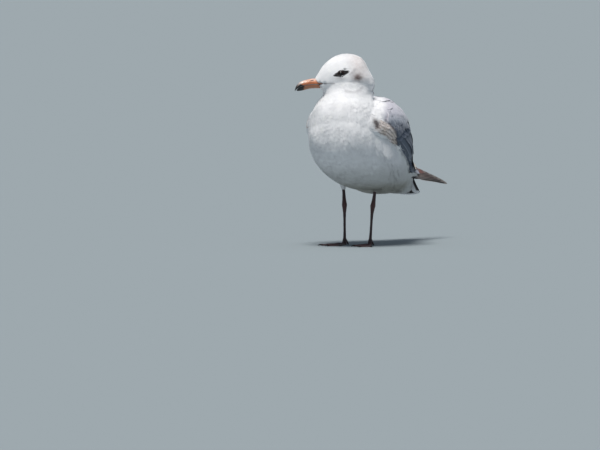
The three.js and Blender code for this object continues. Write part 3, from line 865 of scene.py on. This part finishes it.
class Blade:
    """The outer face of a folded wing, or of its long feathers, found by y and by s, from 0 at its
    lower edge to 1 at its upper edge."""

    def __init__(self, node, side, tree=None):
        points, tris = node_shape(node)
        self.cast = np.array([-0.8 * side, 0, -0.6])
        self.across = np.array([-0.6 * side, 0, 0.8])
        self.tree = tree or tree_of(points, tris)
        ends = points[edges_of(tris)]
        self.ys = np.linspace(points[:, 1].min() + 1, points[:, 1].max() - 0.3, 60)
        rows = []
        for y in self.ys:
            ring = cut_at(ends, y)
            q, deep = ring @ self.across, ring @ self.cast
            rows.append((q.min(), q.max(), deep[q.argmin()], deep[q.argmax()]))
        self.rows = np.array(rows).T

    def edges(self, y):
        """The heights of the lower and upper edge at each y, and how deep they lie."""
        return [np.interp(y, self.ys, values) for values in self.rows]

    def heights(self, points):
        """How far points lie above the lower edge, in mm, and as a share of the height."""
        low, high, _, _ = self.edges(points[:, 1])
        over = points @ self.across - low
        return over, over / (high - low)

    def at(self, y, s):
        """Points and normals of the face; where nothing is hit, of the plane through its edges."""
        low, high, low_deep, high_deep = self.edges(y)
        deep = low_deep * (1 - s) + high_deep * s
        aims = self.across * (low + (high - low) * s)[:, None] + self.cast * deep[:, None]
        aims[:, 1] = y
        points, normals = [], []
        for aim in aims:
            hit = self.tree.ray_cast(Vector(aim - 200 * self.cast), Vector(self.cast))
            missed = hit[0] is None or not -45 < (np.array(hit[0]) - aim) @ self.cast < 3
            points.append(aim if missed else hit[0][:])
            normals.append(-self.cast if missed else hit[1][:])
        return np.array(points), np.array(normals)

    def ways(self, roots, tips, steps, bend=1.0):
        """Ways over the face from each (y, s) to another; bend above 1 keeps s near its start for longer."""
        t = np.linspace(0, 1, steps + 1)
        y = roots[:, :1] + (tips[:, :1] - roots[:, :1]) * t
        s = roots[:, 1:] + (tips[:, 1:] - roots[:, 1:]) * t ** bend
        points, normals = (found.reshape(*y.shape, 3) for found in self.at(y.ravel(), s.ravel()))
        for _ in range(2):
            points[:, 1:-1] = drawn_even(points)
            normals[:, 1:-1] = (normals[:, :-2] + normals[:, 1:-1] + normals[:, 2:]) / 3
        return points, unit(normals)


WING_BLADES = {side: Blade("wing_" + side, sign, skin.tree) for side, sign in SIDES.items()}


def from_low_edge(points):
    """Each point's height over its own side's lower wing edge: in mm, and as a share."""
    left, right = (WING_BLADES[side].heights(points) for side in SIDES)
    return tuple(np.where(points[:, 0] > 0, a, b) for a, b in zip(left, right))


# ---------------- skin with legs and lids

def grooves(way, size):
    """1 in the grooves between plates of this size along a way."""
    return np.abs(np.cos(np.pi * way / size)) ** 10


def scutes(points, normals):
    """How deep the grooves are between the plates on the front of the legs and along the toes."""
    x, y, z = points.T
    left, right = (np.mean(box_mm("tarsus_" + side), axis=0) for side in SIDES)
    own = np.where((x > (left[0] + right[0]) / 2)[:, None], left, right)
    shank = ramp(z, 7, 11) * ramp(-normals[:, 1], 0.1, 0.5)
    toes = ramp(-z, -7, -4) * ramp(normals[:, 2], 0.3, 0.7) * ramp(z, 1.6, 2.4)
    along_toe = np.hypot(x - own[:, 0], y - own[:, 1])
    return 0.22 * (shank * grooves(z, 2.4) + toes * grooves(along_toe, 2.1))


def leg_tint(points):
    """Dark reddish brown, redder at the ankle and on the toes."""
    z = points[:, 2]
    tint = mix(LEG, LEG_RED, 0.6 * bump(z, 50, 14) + 0.25 * ramp(-z, -6, 0))
    return tint * (1 + 0.16 * waves(points, 3.0, 11))[:, None]


LID_LONG, LID_HIGH, LID_LOW = 4.35, 3.3, 3.0  # half the eye's opening: along it, above and below


def lids(side, sign):
    """The rim of bare lid round an eye, lying on the ball, narrow before and behind."""
    axis = eye_axis(sign)
    ahead = unit(HEAD_AHEAD - axis * (HEAD_AHEAD @ axis))
    up = np.cross(axis, ahead) * sign
    up = up * np.sign(up @ UP)
    around, ring = 48, 10
    points = []
    for i in range(around):
        phi = 2 * math.pi * i / around
        sine, cosine = math.sin(phi), math.cos(phi)
        high = (LID_HIGH if sine > 0 else LID_LOW) * math.copysign(abs(sine) ** 1.15, sine)
        flat = LID_LONG * cosine * ahead + (high - 0.5 * cosine ** 3) * up
        out = unit(flat)
        middle = EYES[side] + flat + axis * (math.sqrt(EYE_RADIUS ** 2 - flat @ flat) + 0.05)
        thick = 0.3 + 0.14 * max(sine, 0)
        points += [middle + thick * (math.cos(a) * out * 1.25 + math.sin(a) * axis * 0.8)
                   for a in np.linspace(0, 2 * math.pi, ring, endpoint=False)]
    return np.array(points), wound(around, ring, closed=True)


low_edge_mm = from_low_edge(skin.points)[0]
bare_tint = bill_tint(skin.points, skin_up > -8.2)
leg_points, leg_tris = remeshed("legs", node_shape(*LEGS), LEG_VOXEL, 2)
leg_normals = vertex_normals(leg_points, leg_tris)
leg_points = leg_points - leg_normals * scutes(leg_points, leg_normals)[:, None]
shapes = [(skin.points, skin.tris), (leg_points, leg_tris)]
tints = [mix(markings(skin.points, skin_wing), bare_tint, bare_gape(skin.points)), leg_tint(leg_points)]
for side, sign in SIDES.items():
    shapes.append(lids(side, sign))
    off = shapes[-1][0] - EYES[side]
    pale = ramp(-(off @ UP), 1.4, 2.4) * ramp(-(off @ HEAD_AHEAD), -1.5, 1.0)
    tints.append(mix(srgb(36, 28, 28), WHITE, 0.9 * pale))
skin_piece = new_mesh("skin", *together(*shapes))
colour(skin_piece, "tint", np.vstack(tints))
skin_piece.data.uv_layers.new(name="OFBake")
bpy.context.view_layer.objects.active = skin_piece
skin_piece.select_set(True)
bpy.ops.object.mode_set(mode="EDIT")
bpy.ops.mesh.select_all(action="SELECT")
bpy.ops.uv.smart_project(angle_limit=math.radians(66), island_margin=0.002)
bpy.ops.object.mode_set(mode="OBJECT")
skin_piece.select_set(False)
unwrap = np.empty(len(skin_piece.data.loops) * 2, np.float32)
skin_piece.data.uv_layers["OFBake"].data.foreach_get("uv", unwrap)
unwrap = unwrap.reshape(-1, 3, 2)[:len(skin.tris)]
skin_piece.data.materials.append(
    surface_material("bare_skin", roughness=0.5, detail_size=0.0011, grain=0.3, texture="TexVoronoi"))
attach(skin_piece, "root")
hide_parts(*FLESH, *LEGS)


# ---------------- pieces of plumage

PATCH = 0.003  # each feather's place on the map of the skin


def on_map(points, faces=None):
    """Where points on the skin, or the nearest ones to them, lie on its unwrap."""
    if faces is None:
        faces = skin.near(points)[1]
    return (unwrap[faces] * skin.weights(points, faces)[:, :, None]).sum(1)


def plumage(name, slot, kind, points, faces, places, tint, fringe, material, replaces=()):
    """A piece of joined vanes. places gives each vane's spot on the skin's map, tint and fringe its
    colours, for each vane or for each point of each vane."""
    shape = kind[0]
    count, size = len(places), len(shape)
    piece = new_mesh(name, points, faces)
    for label, values in (("tint", tint), ("fringe", fringe)):
        values = np.asarray(values, float)
        if values.ndim == 2:
            values = np.repeat(values[:, None], size, axis=1)
        colour(piece, label, values.reshape(count * size, -1))
    patch = (shape * [0.5, 1] - [0, 0.5]) * PATCH
    map_corners(piece, "OFBake", (places[:, None] + patch[None]).reshape(-1, 2))
    own = np.stack([(shape[:, 0].clip(-1, 1) + 1) / 2, shape[:, 1].clip(0, 1)], 1)
    map_corners(piece, "Vane", np.tile(own, (count, 1)))
    piece.data.materials.append(material)
    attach(piece, "root")
    if replaces:
        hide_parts(*replaces)
    return piece


def edged(colours, share):
    """Fringe colours with the share of the edge that they take."""
    return np.concatenate([colours, np.full((*colours.shape[:-1], 1), share)], axis=-1)


def chosen(keep, *values):
    """The entries of several arrays for which keep is true."""
    return [value[keep] for value in values]


BILL_WAYS = [0, 12, 30, 60, 90, 140, 260]  # mm over the skin from the bill, and there:
SPACINGS = [1.2, 1.4, 1.8, 2.3, 2.8, 3.2, 3.6]  # mm between the roots of feathers
LENGTHS = [3.4, 5.0, 7.5, 11.5, 15, 19, 21]  # mm
RUMP_END, VENT_END = 119.0, 143.5  # how far back the body feathers reach over and under the tail
CANDIDATES = 120000  # places tried for roots
STEPS = 5  # along each small feather
ON_WING_END = 96.0  # behind here no small feather grows at the edge of a wing
CRISP = vane([0.0, 0.22, 0.42, 0.6, 0.76, 0.9, 1.0], 5, CONTOUR_SHAPE, teeth=0.05)
FLUFFY = vane([0.0, 0.25, 0.5, 0.68, 0.84], 5, CONTOUR_SHAPE, teeth=0.24)


def strewn():
    """Where the small feathers of the head, neck, body and shoulders grow, how long they are, and
    their ways over the skin."""
    spacing = np.interp(from_bill, BILL_WAYS, SPACINGS)
    spacing = np.where(skin_wing > 0.5, 4.0, spacing)
    spacing = np.where((low_edge_mm < 12) & (skin_wing > 0.5) & (skin.points[:, 1] < 20), 2.6, spacing)
    roots, faces = skin.scatter(spacing, CANDIDATES)
    y, wing = roots[:, 1], skin.at(skin_wing, roots, faces)
    eye_gap = np.minimum(*(off_eye(roots, side)[1] for side in SIDES))
    upward = unit(skin.at(skin.normals, roots, faces))[:, 2] > 0.1
    reach = np.where(upward, RUMP_END, VENT_END)
    keep = (eye_gap > EYE_OPENING) & (bare_gape(roots) < 0.5) & (y < reach - 3)
    keep &= ~((wing > 0.5) & (y > -29 + 100 * from_low_edge(roots)[1]))
    keep &= ~((wing > 0.04) & (y > ON_WING_END))
    roots, faces, y, wing, eye_gap, reach = chosen(keep, roots, faces, y, wing, eye_gap, reach)
    low_edge, share = from_low_edge(roots)
    length = np.interp(skin.at(from_bill, roots, faces), BILL_WAYS, LENGTHS)
    length = np.minimum(length, 2.6 + 0.9 * (eye_gap - EYE_OPENING).clip(0, 40))
    length = np.where(wing > 0.5, 15 + 10 * ramp(share, 0.5, 0.9) - 5 * ramp(-low_edge, -14, -9), length)
    length = np.minimum(length, ((reach - y) / math.cos(TAIL_PITCH)).clip(4, 99))
    length *= RNG.uniform(0.9, 1.12, len(length))
    half = length * np.where(wing > 0.5, 0.33, 0.3)
    turn = RNG.normal(0, 0.06, len(roots))
    ways, normals = paths(roots, faces, length, STEPS, turn)
    gaps = np.stack([skin.gap(ways[:, k]) for k in range(1, STEPS + 1)], 1)
    free = (gaps > 0.3) & (y < 100)[:, None]  # what would hang in the air is left off
    length = length * np.where(free.any(1), (free.argmax(1) / STEPS).clip(0.25, None), 1)
    ways, normals = paths(roots, faces, length, STEPS, turn)
    over_tail = (ways[:, :, 1] > 121) & (ways[:, :, 2] > tail_row(ways[:, :, 1])[2])
    keep = ~over_tail.any(1) & (skin.gap(ways[:, -1]) < np.where(y < 100, 0.6, 2.0))
    return chosen(keep, roots, faces, wing, low_edge, half, ways, normals)


def regions(roots, faces, wing):
    """The name of the part of the plumage that each feather is of."""
    x, y, z = roots.T
    up, bill_way = in_head(roots)[2], skin.at(from_bill, roots, faces)
    region = np.where(y < -20, "breast", "belly").astype(object)
    for name, mine in (("back", (y > -20) & (z > 150 - 0.35 * y)),
                       ("neck", (bill_way < 95) & (up < -14)),
                       ("crown", up >= -22),
                       ("face", (up >= -22) & (bill_way < 36)),
                       ("shoulder_left", (wing > 0.5) & (x > 0)),
                       ("shoulder_right", (wing > 0.5) & (x <= 0))):
        region[mine] = name  # where two apply, the later one counts
    return region


def scattered():
    """The small feathers, as one piece for each part of the plumage."""
    roots, faces, wing, low_edge, half, ways, normals = strewn()
    y = roots[:, 1]
    flank = (wing < 0.5) * bump(low_edge, 0, 9) * ramp(y, -50, -22) * ramp(-y, -90, -40)
    depth = coat_depth(roots) * (1 + 0.1 * waves(roots, 16, 5)) + RNG.normal(0, 0.02, len(roots))
    depth = depth + 2.6 * flank
    shade = RNG.normal(1, 0.014, len(roots))
    twist = RNG.normal(0, 0.025, len(roots))
    places, region = on_map(roots, faces), regions(roots, faces, wing)
    for name in ("face", "crown", "neck", "breast", "belly", "back", "shoulder_left", "shoulder_right"):
        mine = region == name
        firm = name.startswith("shoulder")
        kind = CRISP if firm else FLUFFY
        size = len(kind[0])
        own_depth = depth[mine][:, None]
        rise = lambda t: own_depth * (0.62 + 0.38 * t if firm else t.clip(0.02, None) ** 0.14)
        points, every = lay(kind, ways[mine], normals[mine], half[mine], rise, twist[mine], camber=0.08)
        tint = markings(points, np.repeat(wing[mine], size)).reshape(-1, size, 3)
        tint = (tint * shade[mine][:, None, None]).clip(0, 0.93)
        edge = edged(mix(tint, WHITE, 0.14), 0.85 * firm)
        piece = plumage(name + "_feathers", "grey_plumage" if firm or name == "back" else "white_plumage",
                        kind, points, every, places[mine], tint, edge, SOFT_VANE)
        tufts = np.stack([waves(points, 10, seed) for seed in (61, 62, 63)], 1)
        soft = soft_normals(kind, ways[mine], normals[mine], 0.3 if firm else 0.1)
        soft = soft + (0.02 if firm else 0.045) * tufts
        shade_like(piece, soft + 0.25 * np.repeat(flank[mine], size)[:, None] * UP)


scattered()


# ---------------- wing rows, primaries and tail

COVERT = vane(np.linspace(0, 1, 13).tolist(), 7, COVERT_SHAPE, teeth=0.02)
QUILL = vane(np.linspace(0, 1, 41).tolist(), 9, QUILL_SHAPE, teeth=0.006)
RECTRIX = vane(np.linspace(0, 1, 61).tolist(), 9, TAIL_SHAPE, teeth=0.008)
THIGH = vane([0.0, 0.35, 0.7, 1.0], 3, CONTOUR_SHAPE, teeth=0.1)

# rows of coverts: number, ends of the line of roots and of tips by (y, s), half width, heights of the
# lowest and uppermost feather, colours of feather and edge, the edge's share
# the coverts' dark slate greys are the wing's grey darkened as painted shade on the wing's side
COVERT_ROWS = (
    (11, [(34, 0.12), (78, 0.5)], [(98, 0.15), (147, 0.45)], 6.5, 0.1, 0.5, SHADED_SLATE, COVERT_EDGE, 0.7),
    (14, [(-16, 0.12), (60, 0.74)], [(38, 0.07), (106, 0.58)], 6.0, 0.7, 1.1, SHADED_SLATE, COVERT_EDGE, 0.5),
    (14, [(-36, 0.16), (50, 0.9)], [(-4, 0.08), (76, 0.76)], 5.8, 1.2, 1.6, SHADED_GREY, COVERT_EDGE, 0.4))


def line(start, end, count, bow=0.0):
    """Evenly spaced (y, s) pairs, bowed backwards in the middle."""
    t = np.linspace(0, 1, count)[:, None]
    pairs = np.array(start, float) * (1 - t) + np.array(end, float) * t
    pairs[:, 0] += bow * 4 * t[:, 0] * (1 - t[:, 0])
    return pairs


def shingled(kind, blade, sign, roots, tips, half, heights, bend=1.0, slope=0.07):
    """A row of long feathers on a wing, each tucked under the next one up: points, triangles and places."""
    ways, normals = blade.ways(roots, tips, 12, bend)
    slopes = np.full(len(roots), slope * sign)
    rise = lambda t: heights[:, None] * (0.5 + 0.5 * ramp(t, 0, 0.5))
    return *lay(kind, ways, normals, half, rise, slopes), on_map(ways[:, 0])


def varied(base, count, share=0.05):
    """A colour for each of several feathers, lighter or darker by about this share."""
    return np.tile(base, (count, 1)) * RNG.normal(1, share, (count, 1))


def on_strip(points, colours):
    """Colours at the points of each feather, with the wing's strip drawn over them."""
    size = len(points) // len(colours)
    tint = strip_markings(points, np.repeat(colours, size, axis=0), np.ones(len(points)))
    return tint.reshape(len(colours), size, -1)


def wing_coverts(side, sign):
    """Median and greater coverts over the secondaries, with the tertials above."""
    blade, shapes, others = WING_BLADES[side], [], []

    def add_row(roots, tips, half, low, high, base, edge, share):
        """One row, whose upper feathers lie over the lower ones."""
        count = len(roots)
        points, faces, places = shingled(COVERT, blade, sign, roots, tips, half * np.ones(count),
                                         np.linspace(low, high, count))
        shapes.append((points, faces))
        tint, fringe = on_strip(points, varied(base, count)), on_strip(points, varied(edge, count, 0.02))
        others.append((places, tint, edged(fringe, share)))

    for count, root, tip, *rest in COVERT_ROWS:
        add_row(line(*root, count, bow=3), line(*tip, count, bow=5), *rest)
    tips = np.array([(124, 0.32), (134, 0.48), (141, 0.64), (144, 0.8)])
    add_row(line((54, 0.52), (70, 0.95), 4), tips, np.array([8.5, 9, 9, 8.5]), 0.9, 2.1,
            srgb(122, 112, 110), CREAM, 0.6)
    places, tint, fringe = (np.concatenate(part) for part in zip(*others))
    plumage(f"covert_feathers_{side}", "grey_plumage", COVERT, *together(*shapes), places, tint, fringe,
            FIRM_VANE)


PRIMARY_ENDS = np.array([0, 9, 20, 32, 45, 59, 74.0])  # mm ahead of the wing's tip, lowest feather first
PRIMARY_TIPS = np.array([0.5, 0.6, 0.68, 0.74, 0.78, 0.82, 0.86])  # s of the tips
PRIMARY_HALVES = np.array([4.6, 4.6, 4.6, 4.8, 5, 5.2, 5.4])  # half widths


def primaries(side, sign):
    """The long wing tip: seven primaries, the lowest the longest and the upper ones over it."""
    node = "primaries_" + side
    blade = Blade(node, sign)
    roots = np.stack([np.full(7, blade.ys[0] + 1), np.linspace(0.14, 0.88, 7)], 1)
    tips = np.stack([blade.ys[-1] + 3 - PRIMARY_ENDS, PRIMARY_TIPS], 1)
    points, faces, places = shingled(QUILL, blade, sign, roots, tips, PRIMARY_HALVES,
                                     np.linspace(-0.6, 1.4, 7), bend=1.3, slope=0.04)
    across, place = QUILL[0].T
    dark, brown, red_brown, grey = srgb(40, 35, 37), srgb(74, 60, 58), srgb(104, 62, 56), srgb(138, 138, 142)
    inner = 0.85 * ramp(across * sign, 0.25, -0.1) * ramp(-place, -0.86, -0.74)
    tint = np.empty((7, len(place), 3))
    for i, base in enumerate((dark, dark, brown, brown, brown, red_brown, red_brown)):
        own = layered(base, (grey, inner * (i < 2)), (dark, ramp(place, 0.8, 0.97) * 0.8))
        tint[i] = own * RNG.normal(1, 0.04)
    fringe = edged(np.tile(mix(brown, CREAM, 0.35), (7, 1)), 0.35)
    plumage(f"primary_feathers_{side}", "flight_feathers", QUILL, points, faces, places, tint, fringe,
            FIRM_VANE, replaces=[node])


TAIL_ROOT = 104.0  # where the tail feathers start


def tail():
    """Twelve tail feathers, white with a black band near the tip and a thin pale end."""
    trunk = tree_of(*node_shape("trunk"))
    length = float(box_mm("tail")[1][1]) - TAIL_ROOT - 0.6
    fan = np.linspace(-1, 1, 12)
    t = np.linspace(0, 1, 13)
    y = TAIL_ROOT + (length - 4.6 * fan[:, None] ** 2 + 0.5 * np.cos(9 * fan)[:, None]) * t
    middle, half_width, top = tail_row(y)
    ways = np.stack([middle + fan[:, None] * (half_width - 4.2), y, top], 2)
    for way in ways.reshape(-1, 3):
        hit = trunk.ray_cast(Vector((way[0], way[1], 300)), Vector(-UP))[0]
        if hit:
            way[2] += RUMP_SHARE * max(hit[2] - way[2], 0)
    for _ in range(4):
        ways[:, 1:-1] = drawn_even(ways)
        ways[1:-1] = drawn_even(ways.swapaxes(0, 1)).swapaxes(0, 1)
    normals = np.tile([0, math.sin(TAIL_PITCH), math.cos(TAIL_PITCH)], (12, 13, 1))
    heights = 0.2 - 1.5 * np.abs(fan)
    points, faces = lay(RECTRIX, ways, normals, np.full(12, 5.2), lambda t: heights[:, None] + 0 * t,
                        0.07 * np.sign(fan))
    across, place = RECTRIX[0].T
    tint = np.empty((12, len(place), 3))
    for i, side in enumerate(fan):
        band = ramp(place, 0.83, 0.86) * ramp(-place, -0.985, -0.97)
        if i in (0, 11):
            band = (across * side > 0.1) * ramp(place, 0.25, 0.35) * ramp(-place, -0.9, -0.86)
        tint[i] = mix(WHITE, SOOT, band)
    plumage("tail_quills", "tail_feathers", RECTRIX, points, faces, on_map(ways[:, 0]), tint,
            edged(np.tile(CREAM, (12, 1)), 0.0), FIRM_VANE, replaces=["tail"])


THIGH_TOP, THIGH_END = 84.0, 73.5  # heights between which the feathers of the thighs grow


def thighs():
    """Short feathers round the top of each leg, where it leaves the belly."""
    roots, outs, lengths = [], [], []
    split = np.median(leg_points[:, 0])
    for sign in SIDES.values():
        own = leg_points[(leg_points[:, 0] - split) * sign > 0]
        for z in np.linspace(THIGH_TOP, THIGH_END, 9):
            middle = own[np.abs(own[:, 2] - min(z, own[:, 2].max() - 2)) < 1.5].mean(0)
            wide = 2.3 + 3.2 * ramp(z, 73, 84)
            for phi in RNG.uniform(0, 2 * math.pi, 26):
                out = np.array([math.cos(phi), math.sin(phi), 0])
                roots.append([*(middle + wide * out)[:2], z])
                outs.append(out)
                lengths.append(RNG.uniform(4.5, 6.5))
    roots, outs, lengths = np.array(roots), np.array(outs), np.array(lengths)
    t = np.linspace(0, 1, 4)[None, :, None]
    ways = roots[:, None] - UP * t * lengths[:, None, None] - outs[:, None] * t * 1.6
    normals = np.repeat(outs[:, None], 4, axis=1)
    points, faces = lay(THIGH, ways, normals, lengths * 0.3, lambda t: 0.2 + 0 * t, 0 * lengths, camber=0.12)
    plumage("thigh_feathers", "white_plumage", THIGH, points, faces, on_map(roots),
            varied(WHITE, len(roots), 0.02), edged(varied(WHITE, len(roots)), 0.0), SOFT_VANE)


for side, sign in SIDES.items():
    wing_coverts(side, sign)
    primaries(side, sign)
tail()
thighs()

# ---------------- bill, eyes and claws

def solid_piece(name, points, tris, tint, material, replaces):
    """A bare, hard part in one colour layer."""
    piece = new_mesh(name, points, tris)
    colour(piece, "tint", tint)
    piece.data.materials.append(material)
    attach(piece, "root")
    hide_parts(*replaces)
    return piece


BILL_VOXEL, CLAW_VOXEL = 0.42, 0.22
BILL_SEEN = 46.5  # the horn is drawn out backwards from here, into the face
BILL_DRAWN = 3.6  # by this many times its length there
NOSTRIL_DEPTH = 0.75
HORN = surface_material("bill_horn", roughness=0.32, detail_size=0.0016, grain=0.14, coat=0.25)
for part in ("upper", "lower"):
    points, tris = remeshed("bill_" + part, node_shape("bill_" + part), BILL_VOXEL, 3)
    normals = vertex_normals(points, tris)
    _, ahead, _ = in_head(points)
    points = points - BILL_DRAWN * (BILL_SEEN - ahead).clip(0, None)[:, None] * HEAD_AHEAD
    tint = bill_tint(points, part == "upper")
    if part == "upper":
        points = points - normals * (NOSTRIL_DEPTH * nostril(points))[:, None]
    solid_piece("bill_" + part + "_horn", points, tris, tint, HORN, ["bill_" + part])

CLAWS = [f"claw_{side}_{k}" for side in SIDES for k in (1, 2, 3)]
claw_points, claw_tris = remeshed("claws", node_shape(*CLAWS), CLAW_VOXEL, 2)
solid_piece("claws", claw_points, claw_tris, np.tile(srgb(30, 26, 26), (len(claw_points), 1)),
            surface_material("claw_horn", roughness=0.4, detail_size=0.0006, grain=0.3), CLAWS)

EYE_LOOK = surface_material("wet_eye", roughness=0.12, detail_size=0.0006, grain=0.1, coat=0.25)
eye_shader = EYE_LOOK.node_tree.nodes["Principled BSDF"]
eye_shader.inputs["Coat Roughness"].default_value = 0.02
eye_shader.inputs["Specular IOR Level"].default_value = 0.25
theta = np.linspace(0, math.pi, 40)[:, None, None]  # from the middle of the pupil
phi = np.linspace(0, 2 * math.pi, 48, endpoint=False)[:, None]
bulge = EYE_RADIUS * (1 + 0.035 * (1 - ramp(theta, 0.2, 0.75)))
from_pupil = np.repeat(theta.ravel(), len(phi))
eye_tint = mix(mix(srgb(6, 5, 6), srgb(44, 26, 20), ramp(from_pupil, 0.46, 0.52)), srgb(14, 10, 10),
               ramp(from_pupil, 0.8, 0.95))
for side, sign in SIDES.items():
    axis = eye_axis(sign)
    one = unit(np.cross(axis, UP))
    two = np.cross(axis, one)
    around = np.cos(phi) * one + np.sin(phi) * two
    points = (EYES[side] + bulge * np.cos(theta) * axis + bulge * np.sin(theta) * around).reshape(-1, 3)
    solid_piece("eye_ball_" + side, points, wound(len(theta), len(phi)), eye_tint, EYE_LOOK,
                ["eye_" + side])

# ---------------- floor, light and camera

FLOOR_REACH = 400.0  # metres, so that its edge is out of sight
bpy.ops.mesh.primitive_circle_add(vertices=96, radius=FLOOR_REACH, fill_type="NGON")
floor = bpy.context.object
floor.name = "floor"
floor_look = Graph(bpy.data.materials.new("floor"))
floor_look.set(floor_look.nodes["Principled BSDF"],
               {"Base Color": (0.265, 0.31, 0.335, 1), "Roughness": 0.9})
floor.data.materials.append(floor_look.owner)

sky = Graph(bpy.data.worlds.new("studio"))
way_up = sky.add("SeparateXYZ", {0: sky.add("TexCoord", {}).outputs["Generated"]}).outputs[2]
low_sky = sky.blended("MIX", sky.step(way_up, 0.06, 0.35), (0.342, 0.397, 0.424, 1), (0.115, 0.14, 0.172, 1))
whole_sky = sky.blended("MIX", sky.step(way_up, 0.6, 1.0), low_sky, (0.44, 0.47, 0.54, 1))
sky.set(sky.nodes["Background"], {"Color": whole_sky})
bpy.context.scene.world = sky.owner

VIEW_AZIMUTH, VIEW_ELEVATION = math.radians(28), math.radians(3)
KEY_AZIMUTH, KEY_ELEVATION = math.radians(14), math.radians(68)


def seen_from(azimuth, elevation):
    """The way from the bird to a viewer or a lamp; azimuth 0 is straight before the bird."""
    return Vector((math.sin(azimuth) * math.cos(elevation), -math.cos(azimuth) * math.cos(elevation),
                   math.sin(elevation)))


key = bpy.data.lights.new("key", "SUN")
key.energy = 3.4
key.angle = math.radians(20)
key.color = (1.0, 0.97, 0.92)
key_lamp = bpy.data.objects.new("key", key)
key_lamp.rotation_euler = seen_from(KEY_AZIMUTH, KEY_ELEVATION).to_track_quat("Z", "Y").to_euler()
bpy.context.scene.collection.objects.link(key_lamp)

CAMERA_DISTANCE = 20.0  # metres
FRAME_WIDTH = 0.768  # metres across the picture at the bird's distance
AIM_LEFT, AIM_UP = 0.0736, 0.0269  # the picture's middle from the bird's origin, as the camera sees it
lens = bpy.data.cameras.new("camera")
lens.sensor_width = 36.0
lens.lens = lens.sensor_width * CAMERA_DISTANCE / FRAME_WIDTH
lens.clip_end = 500.0
camera = bpy.data.objects.new("camera", lens)
back = seen_from(VIEW_AZIMUTH, VIEW_ELEVATION)
right = Vector((math.cos(VIEW_AZIMUTH), math.sin(VIEW_AZIMUTH), 0))
target = Vector(ORIGIN) - right * AIM_LEFT + back.cross(right) * AIM_UP
camera.location = target + back * CAMERA_DISTANCE
camera.rotation_euler = back.to_track_quat("Z", "Y").to_euler()
bpy.context.scene.collection.objects.link(camera)
bpy.context.scene.camera = camera
bpy.context.scene.view_settings.view_transform = "Standard"
